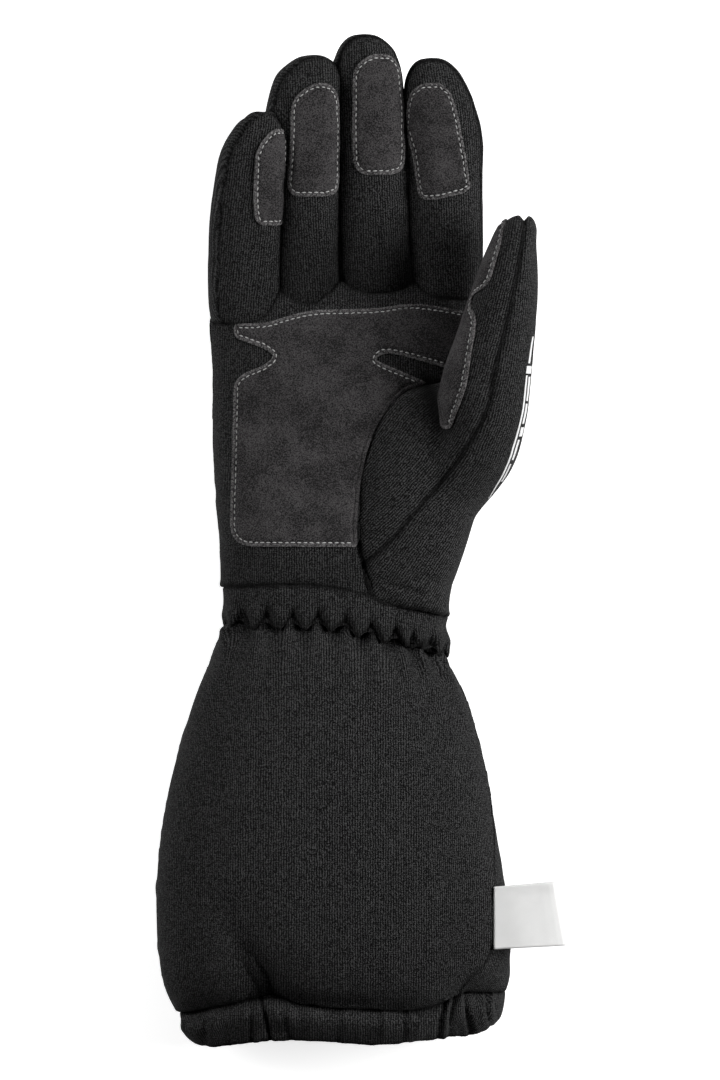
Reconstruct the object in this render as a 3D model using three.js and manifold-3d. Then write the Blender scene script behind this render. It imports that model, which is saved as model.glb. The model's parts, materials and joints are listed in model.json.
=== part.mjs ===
// A long gauntlet racing glove for the right hand, lying on its back with the palm up.
// Knitted padded panels, suede grip patches, a gathered elastic wrist, a wide cuff and an elastic hem.
// Millimetres. +X towards the thumb, +Y towards the fingertips, +Z up out of the palm. z = 0 is the table.
import * as THREE from "three";
import { mergeVertices } from "three/addons/utils/BufferGeometryUtils.js";
import Module from "manifold-3d";

const wasm = await Module();
wasm.setup();

// Thicknesses and clearances.
const WALL = { hand: 3, wrist: 3, cuff: 3.5, hem: 3.5 };
const GAP = 0.3; // between pieces that touch
const KERF = 0.15; // half of the gap between two panels sewn edge to edge
const KERF_ANGLE = 0.35; // the same on the cuff's side seams, in degrees
const SUEDE = 1;
const PATCH_GAP = 0.8; // under a grip patch
const FLOOR = 0; // height of the table that flattens the underside
const FAR = 200; // larger than the glove in any direction

// How finely each tube is faceted, outside and in its hollow.
const SIDES = {
  hand: { out: 28, hollow: 16 },
  thenar: { out: 16, hollow: 10 },
  thumb: { out: 14, hollow: 8 },
  finger: { out: 14, hollow: 8 },
};
// How square each tube's section is above and below its middle. 2 is an ellipse.
const SQUARE = {
  finger: [2.2, 2.3],
  hand: [2.5, 3],
  thenar: [2.7, 2.4],
  thumb: [2.1, 2.1],
  wrist: [2.4, 2.7],
  cuff: [2.3, 2.9],
};

const KNIT = { color: 0x1d1d1f, roughness: 0.95 };
const SUEDE_FINISH = { color: 0x38363a, roughness: 1 };
const TAPE_FINISH = { color: 0xe6e6e4, roughness: 0.7 };

// The tubes, by distance y along the glove: the edges of each one's cross-section.
const HAND = [
  { y: -34, left: -51.5, right: 32.5, bottom: 2.5, top: 41.5 },
  { y: -18, left: -52.1, right: 32.8, bottom: 1.5, top: 42 },
  { y: 0, left: -52.6, right: 35.4, bottom: -0.3, top: 40.7 },
  { y: 26, left: -54.6, right: 38.6, bottom: -1, top: 38.5 },
  { y: 64, left: -55.3, right: 43.2, bottom: -1, top: 35 },
  { y: 83, left: -56.4, right: 45.3, bottom: 0, top: 31 },
  { y: 91, left: -55.2, right: 44.8, bottom: 1.6, top: 28.4 },
  { y: 96.5, left: -50.5, right: 40.5, bottom: 6, top: 23.5 },
];
const THENAR = [
  { y: -34, left: 0, right: 33, bottom: 4, top: 40 },
  { y: -18, left: 0, right: 33.4, bottom: 3.5, top: 42 },
  { y: -9.4, left: -1.5, right: 37.8, bottom: 3.5, top: 43 },
  { y: 8, left: -5, right: 42.8, bottom: 4, top: 44.2 },
  { y: 24, left: -4, right: 45.8, bottom: 5.5, top: 43.7 },
  { y: 41, left: 2, right: 45.5, bottom: 7, top: 42 },
  { y: 51, left: 7.5, right: 42.8, bottom: 8.6, top: 39.7 },
  { y: 58, left: 15, right: 39, bottom: 11.5, top: 35.6 },
  { y: 61.5, left: 22, right: 35, bottom: 15, top: 29 },
];
const THUMB = [
  { y: 2, left: 16, right: 37, bottom: 12, top: 32 },
  { y: 9, left: 14.5, right: 43, bottom: 8.8, top: 38.6 },
  { y: 16.5, left: 17.5, right: 49.8, bottom: 9.5, top: 42.5 },
  { y: 25.5, left: 22.5, right: 57.1, bottom: 12.6, top: 46.6 },
  { y: 33, left: 27.8, right: 60.2, bottom: 15.8, top: 49.8 },
  { y: 42.4, left: 31.2, right: 62, bottom: 20.5, top: 53.5 },
  { y: 52, left: 29.5, right: 63.7, bottom: 25.1, top: 56.2 },
  { y: 65.3, left: 32.3, right: 64.9, bottom: 28.9, top: 58.4 },
  { y: 76.5, left: 36.8, right: 65.7, bottom: 31, top: 59.6 },
  { y: 100, left: 44.9, right: 66.7, bottom: 34, top: 60.5 },
  { y: 112, left: 50.2, right: 65.6, bottom: 36, top: 59.8 },
];
const WRIST = [
  { y: -42, left: -53.3, right: 33.8, bottom: 1.2, top: 44.8 },
  { y: -36, left: -53.2, right: 33.7, bottom: 1.6, top: 44.4 },
  { y: -30, left: -51.8, right: 33, bottom: 3, top: 43 },
  { y: -24, left: -50.9, right: 32.6, bottom: 4.2, top: 41.6 },
  { y: -15, left: -51.3, right: 32.9, bottom: 3.4, top: 41.8 },
];
const CUFF = [
  { y: -176, left: -68.4, right: 53, bottom: 1.2, top: 44 },
  { y: -170.5, left: -72, right: 55.6, bottom: 0.2, top: 48.4 },
  { y: -164, left: -74.4, right: 57.2, bottom: -0.6, top: 52 },
  { y: -152, left: -76.2, right: 58, bottom: -1, top: 55.2 },
  { y: -128, left: -76.9, right: 54.9, bottom: -1, top: 57.8 },
  { y: -104, left: -73.9, right: 50.3, bottom: -1, top: 57.4 },
  { y: -80, left: -68.6, right: 46.5, bottom: -1, top: 55 },
  { y: -56, left: -61, right: 40.4, bottom: -0.4, top: 50.6 },
  { y: -48, left: -57.2, right: 38, bottom: 0.3, top: 48.6 },
  { y: -42, left: -54.6, right: 35.8, bottom: 1.2, top: 46.4 },
  { y: -36, left: -50, right: 31.6, bottom: 4.6, top: 41.6 },
  { y: -28, left: -47.2, right: 29, bottom: 7.7, top: 37.8 },
];
const HEM = [
  { y: -190, left: -61.5, right: 44.5, bottom: 1.4, top: 38.5 },
  { y: -187, left: -65, right: 49, bottom: 0.2, top: 41 },
  { y: -182, left: -67, right: 52, bottom: -0.2, top: 42.8 },
  { y: -176, left: -67.9, right: 52.5, bottom: 1, top: 43.4 },
];

// The fingers in order from the nearest to the viewer: each one overlaps and dents the next.
// x and z are the centre of a section, w and d its half width and half depth. A round tip ends each finger,
// and roll turns the pad side inwards. A patch's edges are given as seen from the front.
const FINGERS = [
  {
    name: "little",
    roll: 24,
    rows: [
      { y: 84, x: -42.6, z: 17, w: 14.3, d: 12.8 },
      { y: 91, x: -42.6, z: 17.4, w: 14.8, d: 13.2 },
      { y: 109, x: -42.7, z: 19, w: 14.6, d: 12.6 },
      { y: 127.5, x: -42.2, z: 23, w: 13.8, d: 12 },
    ],
    tip: { y: 161.2, x: -37.4, z: 33.5 },
    patch: [
      { y: 118, left: -37.5, right: -31 },
      { y: 119.6, left: -39.4, right: -28 },
      { y: 132.8, left: -39.8, right: -28 },
      { y: 144, left: -39.2, right: -28 },
      { y: 148.9, left: -37.1, right: -28 },
      { y: 152.6, left: -34, right: -28 },
      { y: 153.9, left: -32.2, right: -28 },
    ],
  },
  {
    name: "ring",
    roll: 14,
    rows: [
      { y: 89.2, x: -19.8, z: 16.3, w: 12.2, d: 12.6 },
      { y: 96, x: -19.8, z: 16.6, w: 12.5, d: 13 },
      { y: 109, x: -19.8, z: 17.5, w: 12.4, d: 12.6 },
      { y: 127.5, x: -19.9, z: 19.8, w: 12.5, d: 12 },
      { y: 146, x: -20.6, z: 23, w: 13.1, d: 11.4 },
      { y: 161, x: -21.6, z: 26, w: 14, d: 10.8 },
    ],
    tip: { y: 182, x: -17.8, z: 29.3 },
    patch: [
      { y: 128.8, left: -24, right: -13.5 },
      { y: 130.2, left: -26.3, right: -9.4 },
      { y: 133, left: -27.1, right: -8.4 },
      { y: 154.6, left: -25.9, right: -8.2 },
      { y: 163.9, left: -25.2, right: -8.3 },
      { y: 167.4, left: -23, right: -9 },
      { y: 170.1, left: -19.1, right: -10.6 },
      { y: 171.2, left: -16.2, right: -12.6 },
    ],
  },
  {
    name: "middle",
    roll: 8,
    rows: [
      { y: 94.8, x: 6.4, z: 16, w: 13.7, d: 12.4 },
      { y: 99.5, x: 5.8, z: 16.1, w: 13.7, d: 12.9 },
      { y: 109, x: 5, z: 16.5, w: 13.3, d: 12.7 },
      { y: 127.5, x: 4.5, z: 17.8, w: 13.5, d: 12 },
      { y: 146, x: 4.3, z: 20, w: 13.7, d: 11.6 },
      { y: 161, x: 3.8, z: 22.2, w: 13.6, d: 11.2 },
      { y: 172.5, x: 2.9, z: 24, w: 13.1, d: 10.6 },
    ],
    tip: { y: 190, x: 1.6, z: 26.3 },
    patch: [
      { y: 136.9, left: 1.6, right: 10.5 },
      { y: 138.1, left: -0.6, right: 15 },
      { y: 141.5, left: -2.4, right: 16.5 },
      { y: 157.7, left: -2.8, right: 16.1 },
      { y: 175.1, left: -2.5, right: 14.9 },
      { y: 178.2, left: -0.9, right: 14 },
      { y: 180.6, left: 1.8, right: 12.2 },
      { y: 182, left: 5, right: 9.8 },
    ],
  },
  {
    name: "index",
    roll: -2,
    rows: [
      { y: 93.2, x: 33, z: 15.5, w: 12.8, d: 12 },
      { y: 99, x: 32.8, z: 15.6, w: 13.2, d: 12.5 },
      { y: 109, x: 32.6, z: 16.2, w: 13.5, d: 12.3 },
      { y: 127.5, x: 32.3, z: 18, w: 13.8, d: 12 },
      { y: 146, x: 31.9, z: 20.8, w: 13.9, d: 11.6 },
      { y: 157.5, x: 30.9, z: 22.9, w: 13.7, d: 11.2 },
    ],
    tip: { y: 181.3, x: 26.5, z: 26.6 },
    patch: [
      { y: 127.6, left: 24, right: 28.5 },
      { y: 128.6, left: 22.7, right: 33 },
      { y: 130.2, left: 22.1, right: 38.8 },
      { y: 132, left: 21.8, right: 41.4 },
      { y: 137.6, left: 20.9, right: 40.5 },
      { y: 146.3, left: 19.6, right: 39.1 },
      { y: 154.9, left: 18.5, right: 37.4 },
      { y: 162.8, left: 18, right: 35.6 },
      { y: 168, left: 19.4, right: 33.7 },
      { y: 171.2, left: 23.6, right: 30 },
    ],
  },
];
const THUMB_TIP = { y: 121.6, x: 60.6, z: 48 };
const TIP_POWER = 2.3; // how blunt the tips are
const TIP_SHARES = [0.35, 0.62, 0.84, 0.96]; // where rings lie along a tip
const BASE = { length: 2.2, inset: 1.7 }; // rounding of a finger's lower end
const INTO_PALM = 9; // how far a finger's hollow reaches into the palm's
const SEAM_RISE = 4.6; // how far a finger's side seams lie in front of its middle
const PALM_SPLIT = 17.5; // height of the side seam between palm and back

// Seams seen from the front. The thenar seam runs round the ball of the thumb, the thumb seam up its edge.
const THENAR_SEAM = [
  { y: -18, x: 2.1 },
  { y: -13.4, x: 3.4 },
  { y: -5, x: 0 },
  { y: 6, x: -1.6 },
  { y: 20.3, x: -0.8 },
  { y: 32, x: 2.2 },
  { y: 42, x: 6 },
  { y: 50, x: 11 },
  { y: 55.5, x: 17 },
  { y: 59, x: 24.6 },
  { y: 60, x: 34 },
];
const THUMB_SEAM = [
  { y: -16, x: 1.6 },
  { y: -12.2, x: 4 },
  { y: 12.4, x: 22.1 },
  { y: 24.5, x: 33 },
  { y: 32.4, x: 38.6 },
  { y: 46, x: 46.1 },
  { y: 53, x: 48.6 },
  { y: 62.3, x: 49.9 },
  { y: 76.5, x: 53.5 },
  { y: 102.8, x: 59.1 },
  { y: 119.4, x: 61.2 },
];
const WRIST_SEAM = [
  { x: -60, y: -17.4 },
  { x: -22.5, y: -16.6 },
  { x: -6, y: -18.3 },
  { x: 2, y: -19.6 },
  { x: 6, y: -22.4 },
  { x: 15, y: -24.7 },
  { x: 23, y: -25.9 },
  { x: 40, y: -29.5 },
];
const HEM_SEAM = [
  { x: -67, y: -177 },
  { x: -57, y: -174.7 },
  { x: -38, y: -171.2 },
  { x: -31, y: -170.5 },
  { x: -22.5, y: -173.4 },
  { x: 21.5, y: -175.4 },
  { x: 32, y: -172.4 },
  { x: 38, y: -168.8 },
  { x: 54, y: -169.2 },
];
const HEM_EDGE = [
  { x: -66, y: -187.5 },
  { x: -59, y: -189.6 },
  { x: -37, y: -187.3 },
  { x: -17, y: -187.1 },
  { x: 8, y: -188.7 },
  { x: 34, y: -186.6 },
  { x: 44, y: -185.3 },
  { x: 49, y: -182.4 },
  { x: 54, y: -178 },
];
// The palm patch: corners of one suede piece with a notch from each side, and how far each is rounded.
const PALM_PATCH = [
  { x: -47.2, y: 81.2, round: 1.5 },
  { x: -36.5, y: 80.8, round: 5 },
  { x: -20, y: 86, round: 7 },
  { x: 6, y: 86.6, round: 4 },
  { x: 20, y: 88.8, round: 6 },
  { x: 42.4, y: 85.3, round: 0 },
  { x: 42.4, y: 62.4, round: 0 },
  { x: 11, y: 71, round: 4 },
  { x: 3.3, y: 70.2, round: 1.5 },
  { x: 5, y: 66.8, round: 2 },
  { x: 31, y: 57.2, round: 0 },
  { x: 10, y: -2.7, round: 0 },
  { x: -48.4, y: -2.5, round: 9 },
  { x: -47, y: 61.4, round: 5 },
  { x: -31.6, y: 65.4, round: 3 },
  { x: -33, y: 73.4, round: 3.5 },
  { x: -47.2, y: 75, round: 2.5 },
];
// The thumb patch wraps the pad side. x is its border on the front, and it is the same underneath.
const THUMB_PATCH = [
  { y: 41.5, x: 34.4 },
  { y: 50.4, x: 37.4 },
  { y: 57.4, x: 39.8 },
  { y: 65.3, x: 41 },
  { y: 81, x: 43.5 },
  { y: 84.6, x: 43.2 },
  { y: 87, x: 41.7 },
  { y: 90.8, x: 42.3 },
  { y: 93.4, x: 46 },
  { y: 96.4, x: 48.6 },
  { y: 112.5, x: 53.4 },
  { y: 117, x: 54.6 },
];
// Angle from +X of the cuff's right side seam, which swings to the front towards the hem.
const CUFF_SEAM = [
  { y: -178, angle: 47 },
  { y: -170, angle: 43 },
  { y: -163, angle: 35 },
  { y: -152, angle: 30 },
  { y: -136, angle: 29 },
  { y: -129, angle: 26 },
  { y: -122, angle: 17 },
  { y: -114, angle: 8 },
  { y: -28, angle: 4 },
];
const CUFF_LEFT_SEAM = 187;
const CUFF_SIDES = { front: 20, back: 12 };
const SEAM_LIFT = { height: 1.6, from: 8, to: 28, width: 0.12 }; // of the front panel where the seam swings
const FOLD = { fromY: -128, toY: -176, x: -53, drift: 0.42, width: 6.5, depth: 4.2 }; // valley near the hem
const HEM_OVERLAP = 5; // how far the cuff is lofted past the hem seam before it's cut
const HEM_GATHERS = { count: 21, depth: 0.9, startX: 47 };
// The wrist band's lower edge: a zigzag that pleats the band and droops towards the thumb.
const ZIGZAG = { teeth: 21, height: 3.6, y: -31.2, pleat: 0.7, peakX: -15.8 };
const DROOP = { fromX: -11, slope: 0.25, fade: { from: -84, to: -36 } };
// The sewn tag: a folded loop of tape, seen from its side as reach along the tag and height.
const TAG = { low: -153, high: -129, x: 51.9, z: 44, lowReach: 25.4, highReach: 20.4, fall: 0.16, tape: 0.5 };
const TAG_LOOP = [
  { reach: 0, height: -0.55 },
  { reach: 0.35, height: -1 },
  { reach: 0.75, height: -1.4 },
  { reach: 0.96, height: -1 },
  { reach: 1, height: 0.1 },
  { reach: 0.95, height: 1.2 },
  { reach: 0.75, height: 1.4 },
  { reach: 0.35, height: 1 },
  { reach: 0, height: 0.55 },
];
const TAG_STEPS = 16;

const { clamp, degToRad, lerp, smoothstep } = THREE.MathUtils;

const shares = (parts, last = 1) => Array.from({ length: parts + 1 }, (_, i) => (i / parts) * last);

// A smooth function through a table's rows that never overshoots them.
function profile(table, along = "y") {
  const keys = Object.keys(table[0]).filter((key) => key !== along);
  const steps = table.slice(1).map((row, i) => row[along] - table[i][along]);
  const slope = (key, i) => {
    if (i === 0 || i === table.length - 1) return 0;
    const before = (table[i][key] - table[i - 1][key]) / steps[i - 1];
    const after = (table[i + 1][key] - table[i][key]) / steps[i];
    return before * after <= 0 ? 0 : (2 * before * after) / (before + after);
  };
  return (value) => {
    const inside = clamp(value, table[0][along], table.at(-1)[along]);
    const i = Math.max(0, table.findIndex((row) => row[along] >= inside) - 1);
    const t = (inside - table[i][along]) / steps[i];
    const row = { [along]: value };
    for (const key of keys) {
      const rise = table[i + 1][key] - table[i][key];
      const a = slope(key, i) * steps[i];
      const b = slope(key, i + 1) * steps[i];
      row[key] = table[i][key] + t * (a + t * (3 * rise - 2 * a - b + t * (a + b - 2 * rise)));
    }
    return row;
  };
}

// Rows of edges as rows of centres and half sizes.
const centred = (rows) =>
  rows.map(({ y, left, right, bottom, top }) => ({
    y,
    x: (left + right) / 2,
    z: (bottom + top) / 2,
    w: (right - left) / 2,
    d: (top - bottom) / 2,
  }));

// Rows that round off the end of a tube towards its tip.
function tipRows(rows, tip) {
  const last = rows.at(-1);
  return TIP_SHARES.map((share) => {
    const size = (1 - share ** TIP_POWER) ** (1 / TIP_POWER);
    return {
      y: lerp(last.y, tip.y, share),
      x: lerp(last.x, tip.x, share),
      z: lerp(last.z, tip.z, share),
      w: last.w * size,
      d: last.d * size,
    };
  });
}

function fingerRows({ rows, tip }) {
  const first = rows[0];
  const base = { ...first, y: first.y - BASE.length, w: first.w - BASE.inset, d: first.d - BASE.inset };
  return [base, ...rows, ...tipRows(rows, tip)];
}

// The ys of a table's rows, with long steps divided.
const stations = (rows, longest = 20) =>
  rows.flatMap(({ y }, i) => {
    if (i === 0) return [y];
    const before = rows[i - 1].y;
    return shares(Math.ceil((y - before) / longest))
      .slice(1)
      .map((share) => lerp(before, y, share));
  });

// A point of a section, grown outwards by some thickness. The table flattens the underside.
function sectionPoint(section, y, angle, grow, [above, below]) {
  const c = Math.cos(angle);
  const s = Math.sin(angle);
  const power = 2 / (s >= 0 ? above : below);
  const x = section.x + (section.w + grow) * Math.sign(c) * Math.abs(c) ** power;
  const z = section.z + (section.d + grow) * Math.sign(s) * Math.abs(s) ** power;
  return new THREE.Vector3(x, y, Math.max(z, FLOOR - grow));
}

// The angle at which a section's upper side passes x.
function angleAt(section, x, [above]) {
  const share = clamp((x - section.x) / section.w, -0.99, 0.99);
  return Math.acos(Math.sign(share) * Math.abs(share) ** (above / 2));
}

// Angles that divide a section's outline evenly, starting where its top passes startX.
function evenAngles(section, count, square, startX) {
  const start = angleAt(section, startX, square);
  const angles = shares(1440, 2 * Math.PI).map((turn) => start + turn);
  const points = angles.map((angle) => sectionPoint(section, 0, angle, 0, square));
  const lengths = [0];
  for (let i = 1; i < points.length; i++) lengths.push(lengths[i - 1] + points[i].distanceTo(points[i - 1]));
  return Array.from({ length: count }, (_, k) => {
    const goal = (lengths.at(-1) * k) / count;
    return angles[lengths.findIndex((length) => length >= goal)];
  });
}

function meshGeometry(points, triangles) {
  const geometry = new THREE.BufferGeometry().setFromPoints(points);
  geometry.setIndex(triangles);
  return geometry;
}

// A closed body lofted through rings of points that run along +Y, with its ends capped.
function loft(rings) {
  const sides = rings[0].length;
  const points = rings.flat();
  const triangles = [];
  for (let i = 0; i + 1 < rings.length; i++)
    for (let j = 0; j < sides; j++) {
      const [a, b] = [i * sides + j, i * sides + ((j + 1) % sides)];
      triangles.push(a, a + sides, b + sides, a, b + sides, b);
    }
  const cap = (ring, start) => {
    const centre = points.length;
    points.push(rings[ring].reduce((sum, p) => sum.add(p), new THREE.Vector3()).divideScalar(sides));
    for (let j = 0; j < sides; j++) {
      const [a, b] = [ring * sides + j, ring * sides + ((j + 1) % sides)];
      triangles.push(centre, ...(start ? [a, b] : [b, a]));
    }
  };
  cap(0, true);
  cap(rings.length - 1, false);
  return meshGeometry(points, triangles);
}

// A walled body between an outer and an inner surface, each a function of row and column.
// Rows run along +Y and columns turn from +X to +Z. A closed one goes all the way round.
function shell(rows, columns, outer, inner, closed = false) {
  const points = [outer, inner].flatMap((surface) => rows.flatMap((r) => columns.map((c) => surface(r, c))));
  const n = columns.length;
  const layer = rows.length * n;
  const triangles = [];
  const at = (i, j) => i * n + (j % n);
  const quad = (a, b, c, d) => triangles.push(a, b, c, a, c, d);
  const end = rows.length - 1;
  for (let j = 0; j < (closed ? n : n - 1); j++) {
    for (let i = 0; i < end; i++) {
      quad(at(i, j), at(i + 1, j), at(i + 1, j + 1), at(i, j + 1));
      quad(layer + at(i, j), layer + at(i, j + 1), layer + at(i + 1, j + 1), layer + at(i + 1, j));
    }
    quad(at(0, j), at(0, j + 1), layer + at(0, j + 1), layer + at(0, j));
    quad(at(end, j), layer + at(end, j), layer + at(end, j + 1), at(end, j + 1));
  }
  for (let i = 0; i < end && !closed; i++) {
    const [a, b, c, d] = [at(i, 0), at(i + 1, 0), at(i, n - 1), at(i + 1, n - 1)];
    quad(a, layer + a, layer + b, b);
    quad(c, d, layer + d, layer + c);
  }
  return meshGeometry(points, triangles);
}

// From three.js geometry to a solid that can be joined and cut, and back.
function solidOf(geometry) {
  const bare = geometry.index ? geometry.toNonIndexed() : geometry.clone();
  for (const name of Object.keys(bare.attributes)) if (name !== "position") bare.deleteAttribute(name);
  const merged = mergeVertices(bare, 1e-4);
  const vertProperties = merged.attributes.position.array;
  const triVerts = new Uint32Array(merged.index.array);
  return new wasm.Manifold(new wasm.Mesh({ numProp: 3, vertProperties, triVerts }));
}

function geometryOf(solid) {
  const { numProp, numVert, vertProperties, triVerts } = solid.getMesh();
  const positions = new Float32Array(numVert * 3);
  for (let i = 0; i < numVert; i++)
    positions.set(vertProperties.subarray(i * numProp, i * numProp + 3), i * 3);
  return new THREE.BufferGeometry()
    .setAttribute("position", new THREE.BufferAttribute(positions, 3))
    .setIndex(new THREE.BufferAttribute(triVerts, 1));
}

const joined = (solids) => solids.reduce((sum, solid) => sum.add(solid));
const cutBy = (solid, cutters) => cutters.reduce((rest, cutter) => rest.subtract(cutter), solid);

// The largest body of a solid, without the crumbs that a cut leaves at a seam.
const mainBody = (solid) => solid.decompose().reduce((a, b) => (b.volume() > a.volume() ? b : a));

// An upright prism over an outline of x and y, from one height to another.
function prism(outline, low = -FAR, high = FAR) {
  const shape = new THREE.Shape(outline.map(({ x, y }) => new THREE.Vector2(x, y)));
  const geometry = new THREE.ExtrudeGeometry(shape, { depth: high - low, bevelEnabled: false });
  return solidOf(geometry.translate(0, 0, low));
}

const FOOTPRINT = [
  { x: -FAR, y: -FAR },
  { x: FAR, y: -FAR },
  { x: FAR, y: FAR },
  { x: -FAR, y: FAR },
];

// An outline with its corners rounded.
const rounded = (corners) =>
  corners.flatMap((corner, i) => {
    if (!corner.round) return [corner];
    const here = new THREE.Vector2(corner.x, corner.y);
    const towards = (other) =>
      new THREE.Vector2(other.x, other.y).sub(here).setLength(corner.round).add(here);
    const [start, end] = [towards(corners.at(i - 1)), towards(corners[(i + 1) % corners.length])];
    return new THREE.QuadraticBezierCurve(start, here, end).getPoints(2);
  });

// Everything to the right of a seam given by y, or beyond one given by x.
function rightOf(table, shift) {
  const at = profile(table);
  const [first, last] = [table[0], table.at(-1)];
  const edge = shares(18).map((share) => at(lerp(first.y, last.y, share)));
  return prism([
    { x: first.x + shift, y: -FAR },
    ...edge.map(({ x, y }) => ({ x: x + shift, y })),
    { x: last.x + shift, y: FAR },
    { x: FAR, y: FAR },
    { x: FAR, y: -FAR },
  ]);
}

function beyond(table, shift, parts) {
  const at = profile(table, "x");
  const [first, last] = [table[0], table.at(-1)];
  const edge = shares(parts).map((share) => at(lerp(first.x, last.x, share)));
  return prism([
    { x: -FAR, y: first.y + shift },
    ...edge.map(({ x, y }) => ({ x, y: y + shift })),
    { x: FAR, y: last.y + shift },
    { x: FAR, y: FAR },
    { x: -FAR, y: FAR },
  ]);
}

// A tube through rows of sections. A grown one is larger all round, at its tip too, and a shrunk one is
// its hollow. reach is how much earlier the tube starts than its first row.
function tube(rows, kind, grow = 0, reach = Math.max(grow, 0)) {
  const smallest = 0.9;
  const at = profile(rows);
  const sides = grow < 0 ? SIDES[kind].hollow : SIDES[kind].out;
  const ys = grow < 0 ? rows.map(({ y }) => y).filter((_, i) => i % 2 === 0) : stations(rows);
  const [first, last] = [ys[0], ys.at(-1)];
  const ring = (y, shift) =>
    Array.from({ length: sides }, (_, j) =>
      sectionPoint(at(y), y + shift, (2 * Math.PI * j) / sides, grow, SQUARE[kind]),
    );
  const kept = ys.filter((y) => Math.min(at(y).w, at(y).d) + grow > smallest);
  const rings = kept.map((y) => ring(y, grow * ((y - first) / (last - first))));
  return solidOf(loft(reach > 0 ? [ring(first, -reach), ...rings] : rings));
}

const handRows = centred(HAND);
const thenarRows = centred(THENAR);
const thumbRows = [...centred(THUMB), ...tipRows(centred(THUMB), THUMB_TIP)];
const fingers = FINGERS.map((finger) => ({ ...finger, all: fingerRows(finger) }));

// The ball of the thumb, cut off along its seam, and the thumb that grows out of it.
function thenarMound(grow) {
  const seam = THENAR_SEAM.map(({ x, y }) => ({ x, y: y + grow }));
  const top = [...FOOTPRINT.slice(0, 2), { x: FAR, y: seam.at(-1).y }, { x: -FAR, y: seam.at(-1).y }];
  return tube(thenarRows, "thenar", grow).intersect(rightOf(seam, -grow)).intersect(prism(top));
}
const thumbBody = (grow) => thenarMound(grow).add(tube(thumbRows, "thumb", grow));

// The half of a finger on the pad's side of its side seams.
function padSide({ roll, all }, shift) {
  const turn = degToRad(roll);
  const across = new THREE.Vector3(Math.cos(turn), 0, -Math.sin(turn));
  const out = new THREE.Vector3(Math.sin(turn), 0, Math.cos(turn));
  const at = profile(all);
  const size = 60;
  const margin = 20;
  const rings = [all[0].y - margin, ...stations(all), all.at(-1).y + margin].map((y) => {
    const { x, z } = at(y);
    const corner = (u, v) =>
      new THREE.Vector3(x, y, z).addScaledVector(across, u).addScaledVector(out, SEAM_RISE + shift + v);
    return [corner(size, 0), corner(size, size), corner(-size, size), corner(-size, 0)];
  });
  return solidOf(loft(rings));
}

// A suede patch that lies on a tube between two angles, which vary along it.
function tubePatch(rows, kind, patch, anglesAt, columns) {
  const at = profile(rows);
  const [low, high] = [patch[0].y, patch.at(-1).y];
  const own = stations(rows).filter((y) => y > low && y < high);
  const near = (y) => patch.some((row) => Math.abs(row.y - y) < 1.5);
  const ys = [...patch.map(({ y }) => y), ...own.filter((y) => !near(y))].sort((a, b) => a - b);
  const surface = (grow) => (y, share) => {
    const { from, to } = anglesAt(y);
    return sectionPoint(at(y), y, lerp(from, to, share), grow, SQUARE[kind]);
  };
  return solidOf(shell(ys, shares(columns), surface(PATCH_GAP + SUEDE), surface(PATCH_GAP)));
}

function fingerPatch({ all, patch }) {
  const edgesAt = profile(patch);
  const sectionAt = profile(all);
  const anglesAt = (y) => ({
    from: angleAt(sectionAt(y), edgesAt(y).right, SQUARE.finger),
    to: angleAt(sectionAt(y), edgesAt(y).left, SQUARE.finger),
  });
  return tubePatch(all, "finger", patch, anglesAt, 5);
}

function thumbPatch() {
  const borderAt = profile(THUMB_PATCH);
  const sectionAt = profile(thumbRows);
  const anglesAt = (y) => {
    const from = angleAt(sectionAt(y), borderAt(y).x, SQUARE.thumb);
    return { from, to: 2 * Math.PI - from };
  };
  return tubePatch(thumbRows, "thumb", THUMB_PATCH, anglesAt, 7);
}

const glove = new THREE.Group();
function addPiece(name, solid, finish) {
  const material = new THREE.MeshStandardMaterial({ ...finish, metalness: 0 });
  const mesh = new THREE.Mesh(geometryOf(mainBody(solid)), material);
  mesh.name = name;
  glove.add(mesh);
}

// The hand: palm, back, thumb and fingers share one hollow.
const fingerWithout = (finger, neighbours, grow, clearance, reach) =>
  cutBy(
    tube(finger.all, "finger", grow, reach),
    neighbours.map((other) => tube(other.all, "finger", clearance)),
  );
const fingerBodies = fingers.map((finger, i) => fingerWithout(finger, fingers.slice(0, i), 0, GAP));
const fingerHollows = fingers.map((finger, i) =>
  fingerWithout(finger, fingers.slice(0, i), -WALL.hand, GAP + WALL.hand, INTO_PALM),
);
const hollow = joined([tube(handRows, "hand", -WALL.hand), thumbBody(-WALL.hand), ...fingerHollows]);
const aboveWrist = beyond(WRIST_SEAM, KERF, 16);
const clearOfHand = [thumbBody(GAP), ...fingers.map((finger) => tube(finger.all, "finger", GAP))];

const handShell = cutBy(tube(handRows, "hand"), [hollow, ...clearOfHand]).intersect(aboveWrist);
addPiece("palm_panel", handShell.intersect(prism(FOOTPRINT, PALM_SPLIT + KERF)), KNIT);
addPiece("back_panel", handShell.intersect(prism(FOOTPRINT, -FAR, PALM_SPLIT - KERF)), KNIT);

const thumbShell = thumbBody(0).subtract(hollow).intersect(aboveWrist);
addPiece("thumb_front_panel", thumbShell.subtract(rightOf(THUMB_SEAM, -KERF)), KNIT);
addPiece("thumb_back_panel", thumbShell.intersect(rightOf(THUMB_SEAM, KERF)), KNIT);

fingers.forEach((finger, i) => {
  const walls = fingerBodies[i].subtract(hollow);
  addPiece(`${finger.name}_finger_front`, walls.intersect(padSide(finger, KERF)), KNIT);
  addPiece(`${finger.name}_finger_back`, walls.subtract(padSide(finger, -KERF)), KNIT);
});

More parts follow.
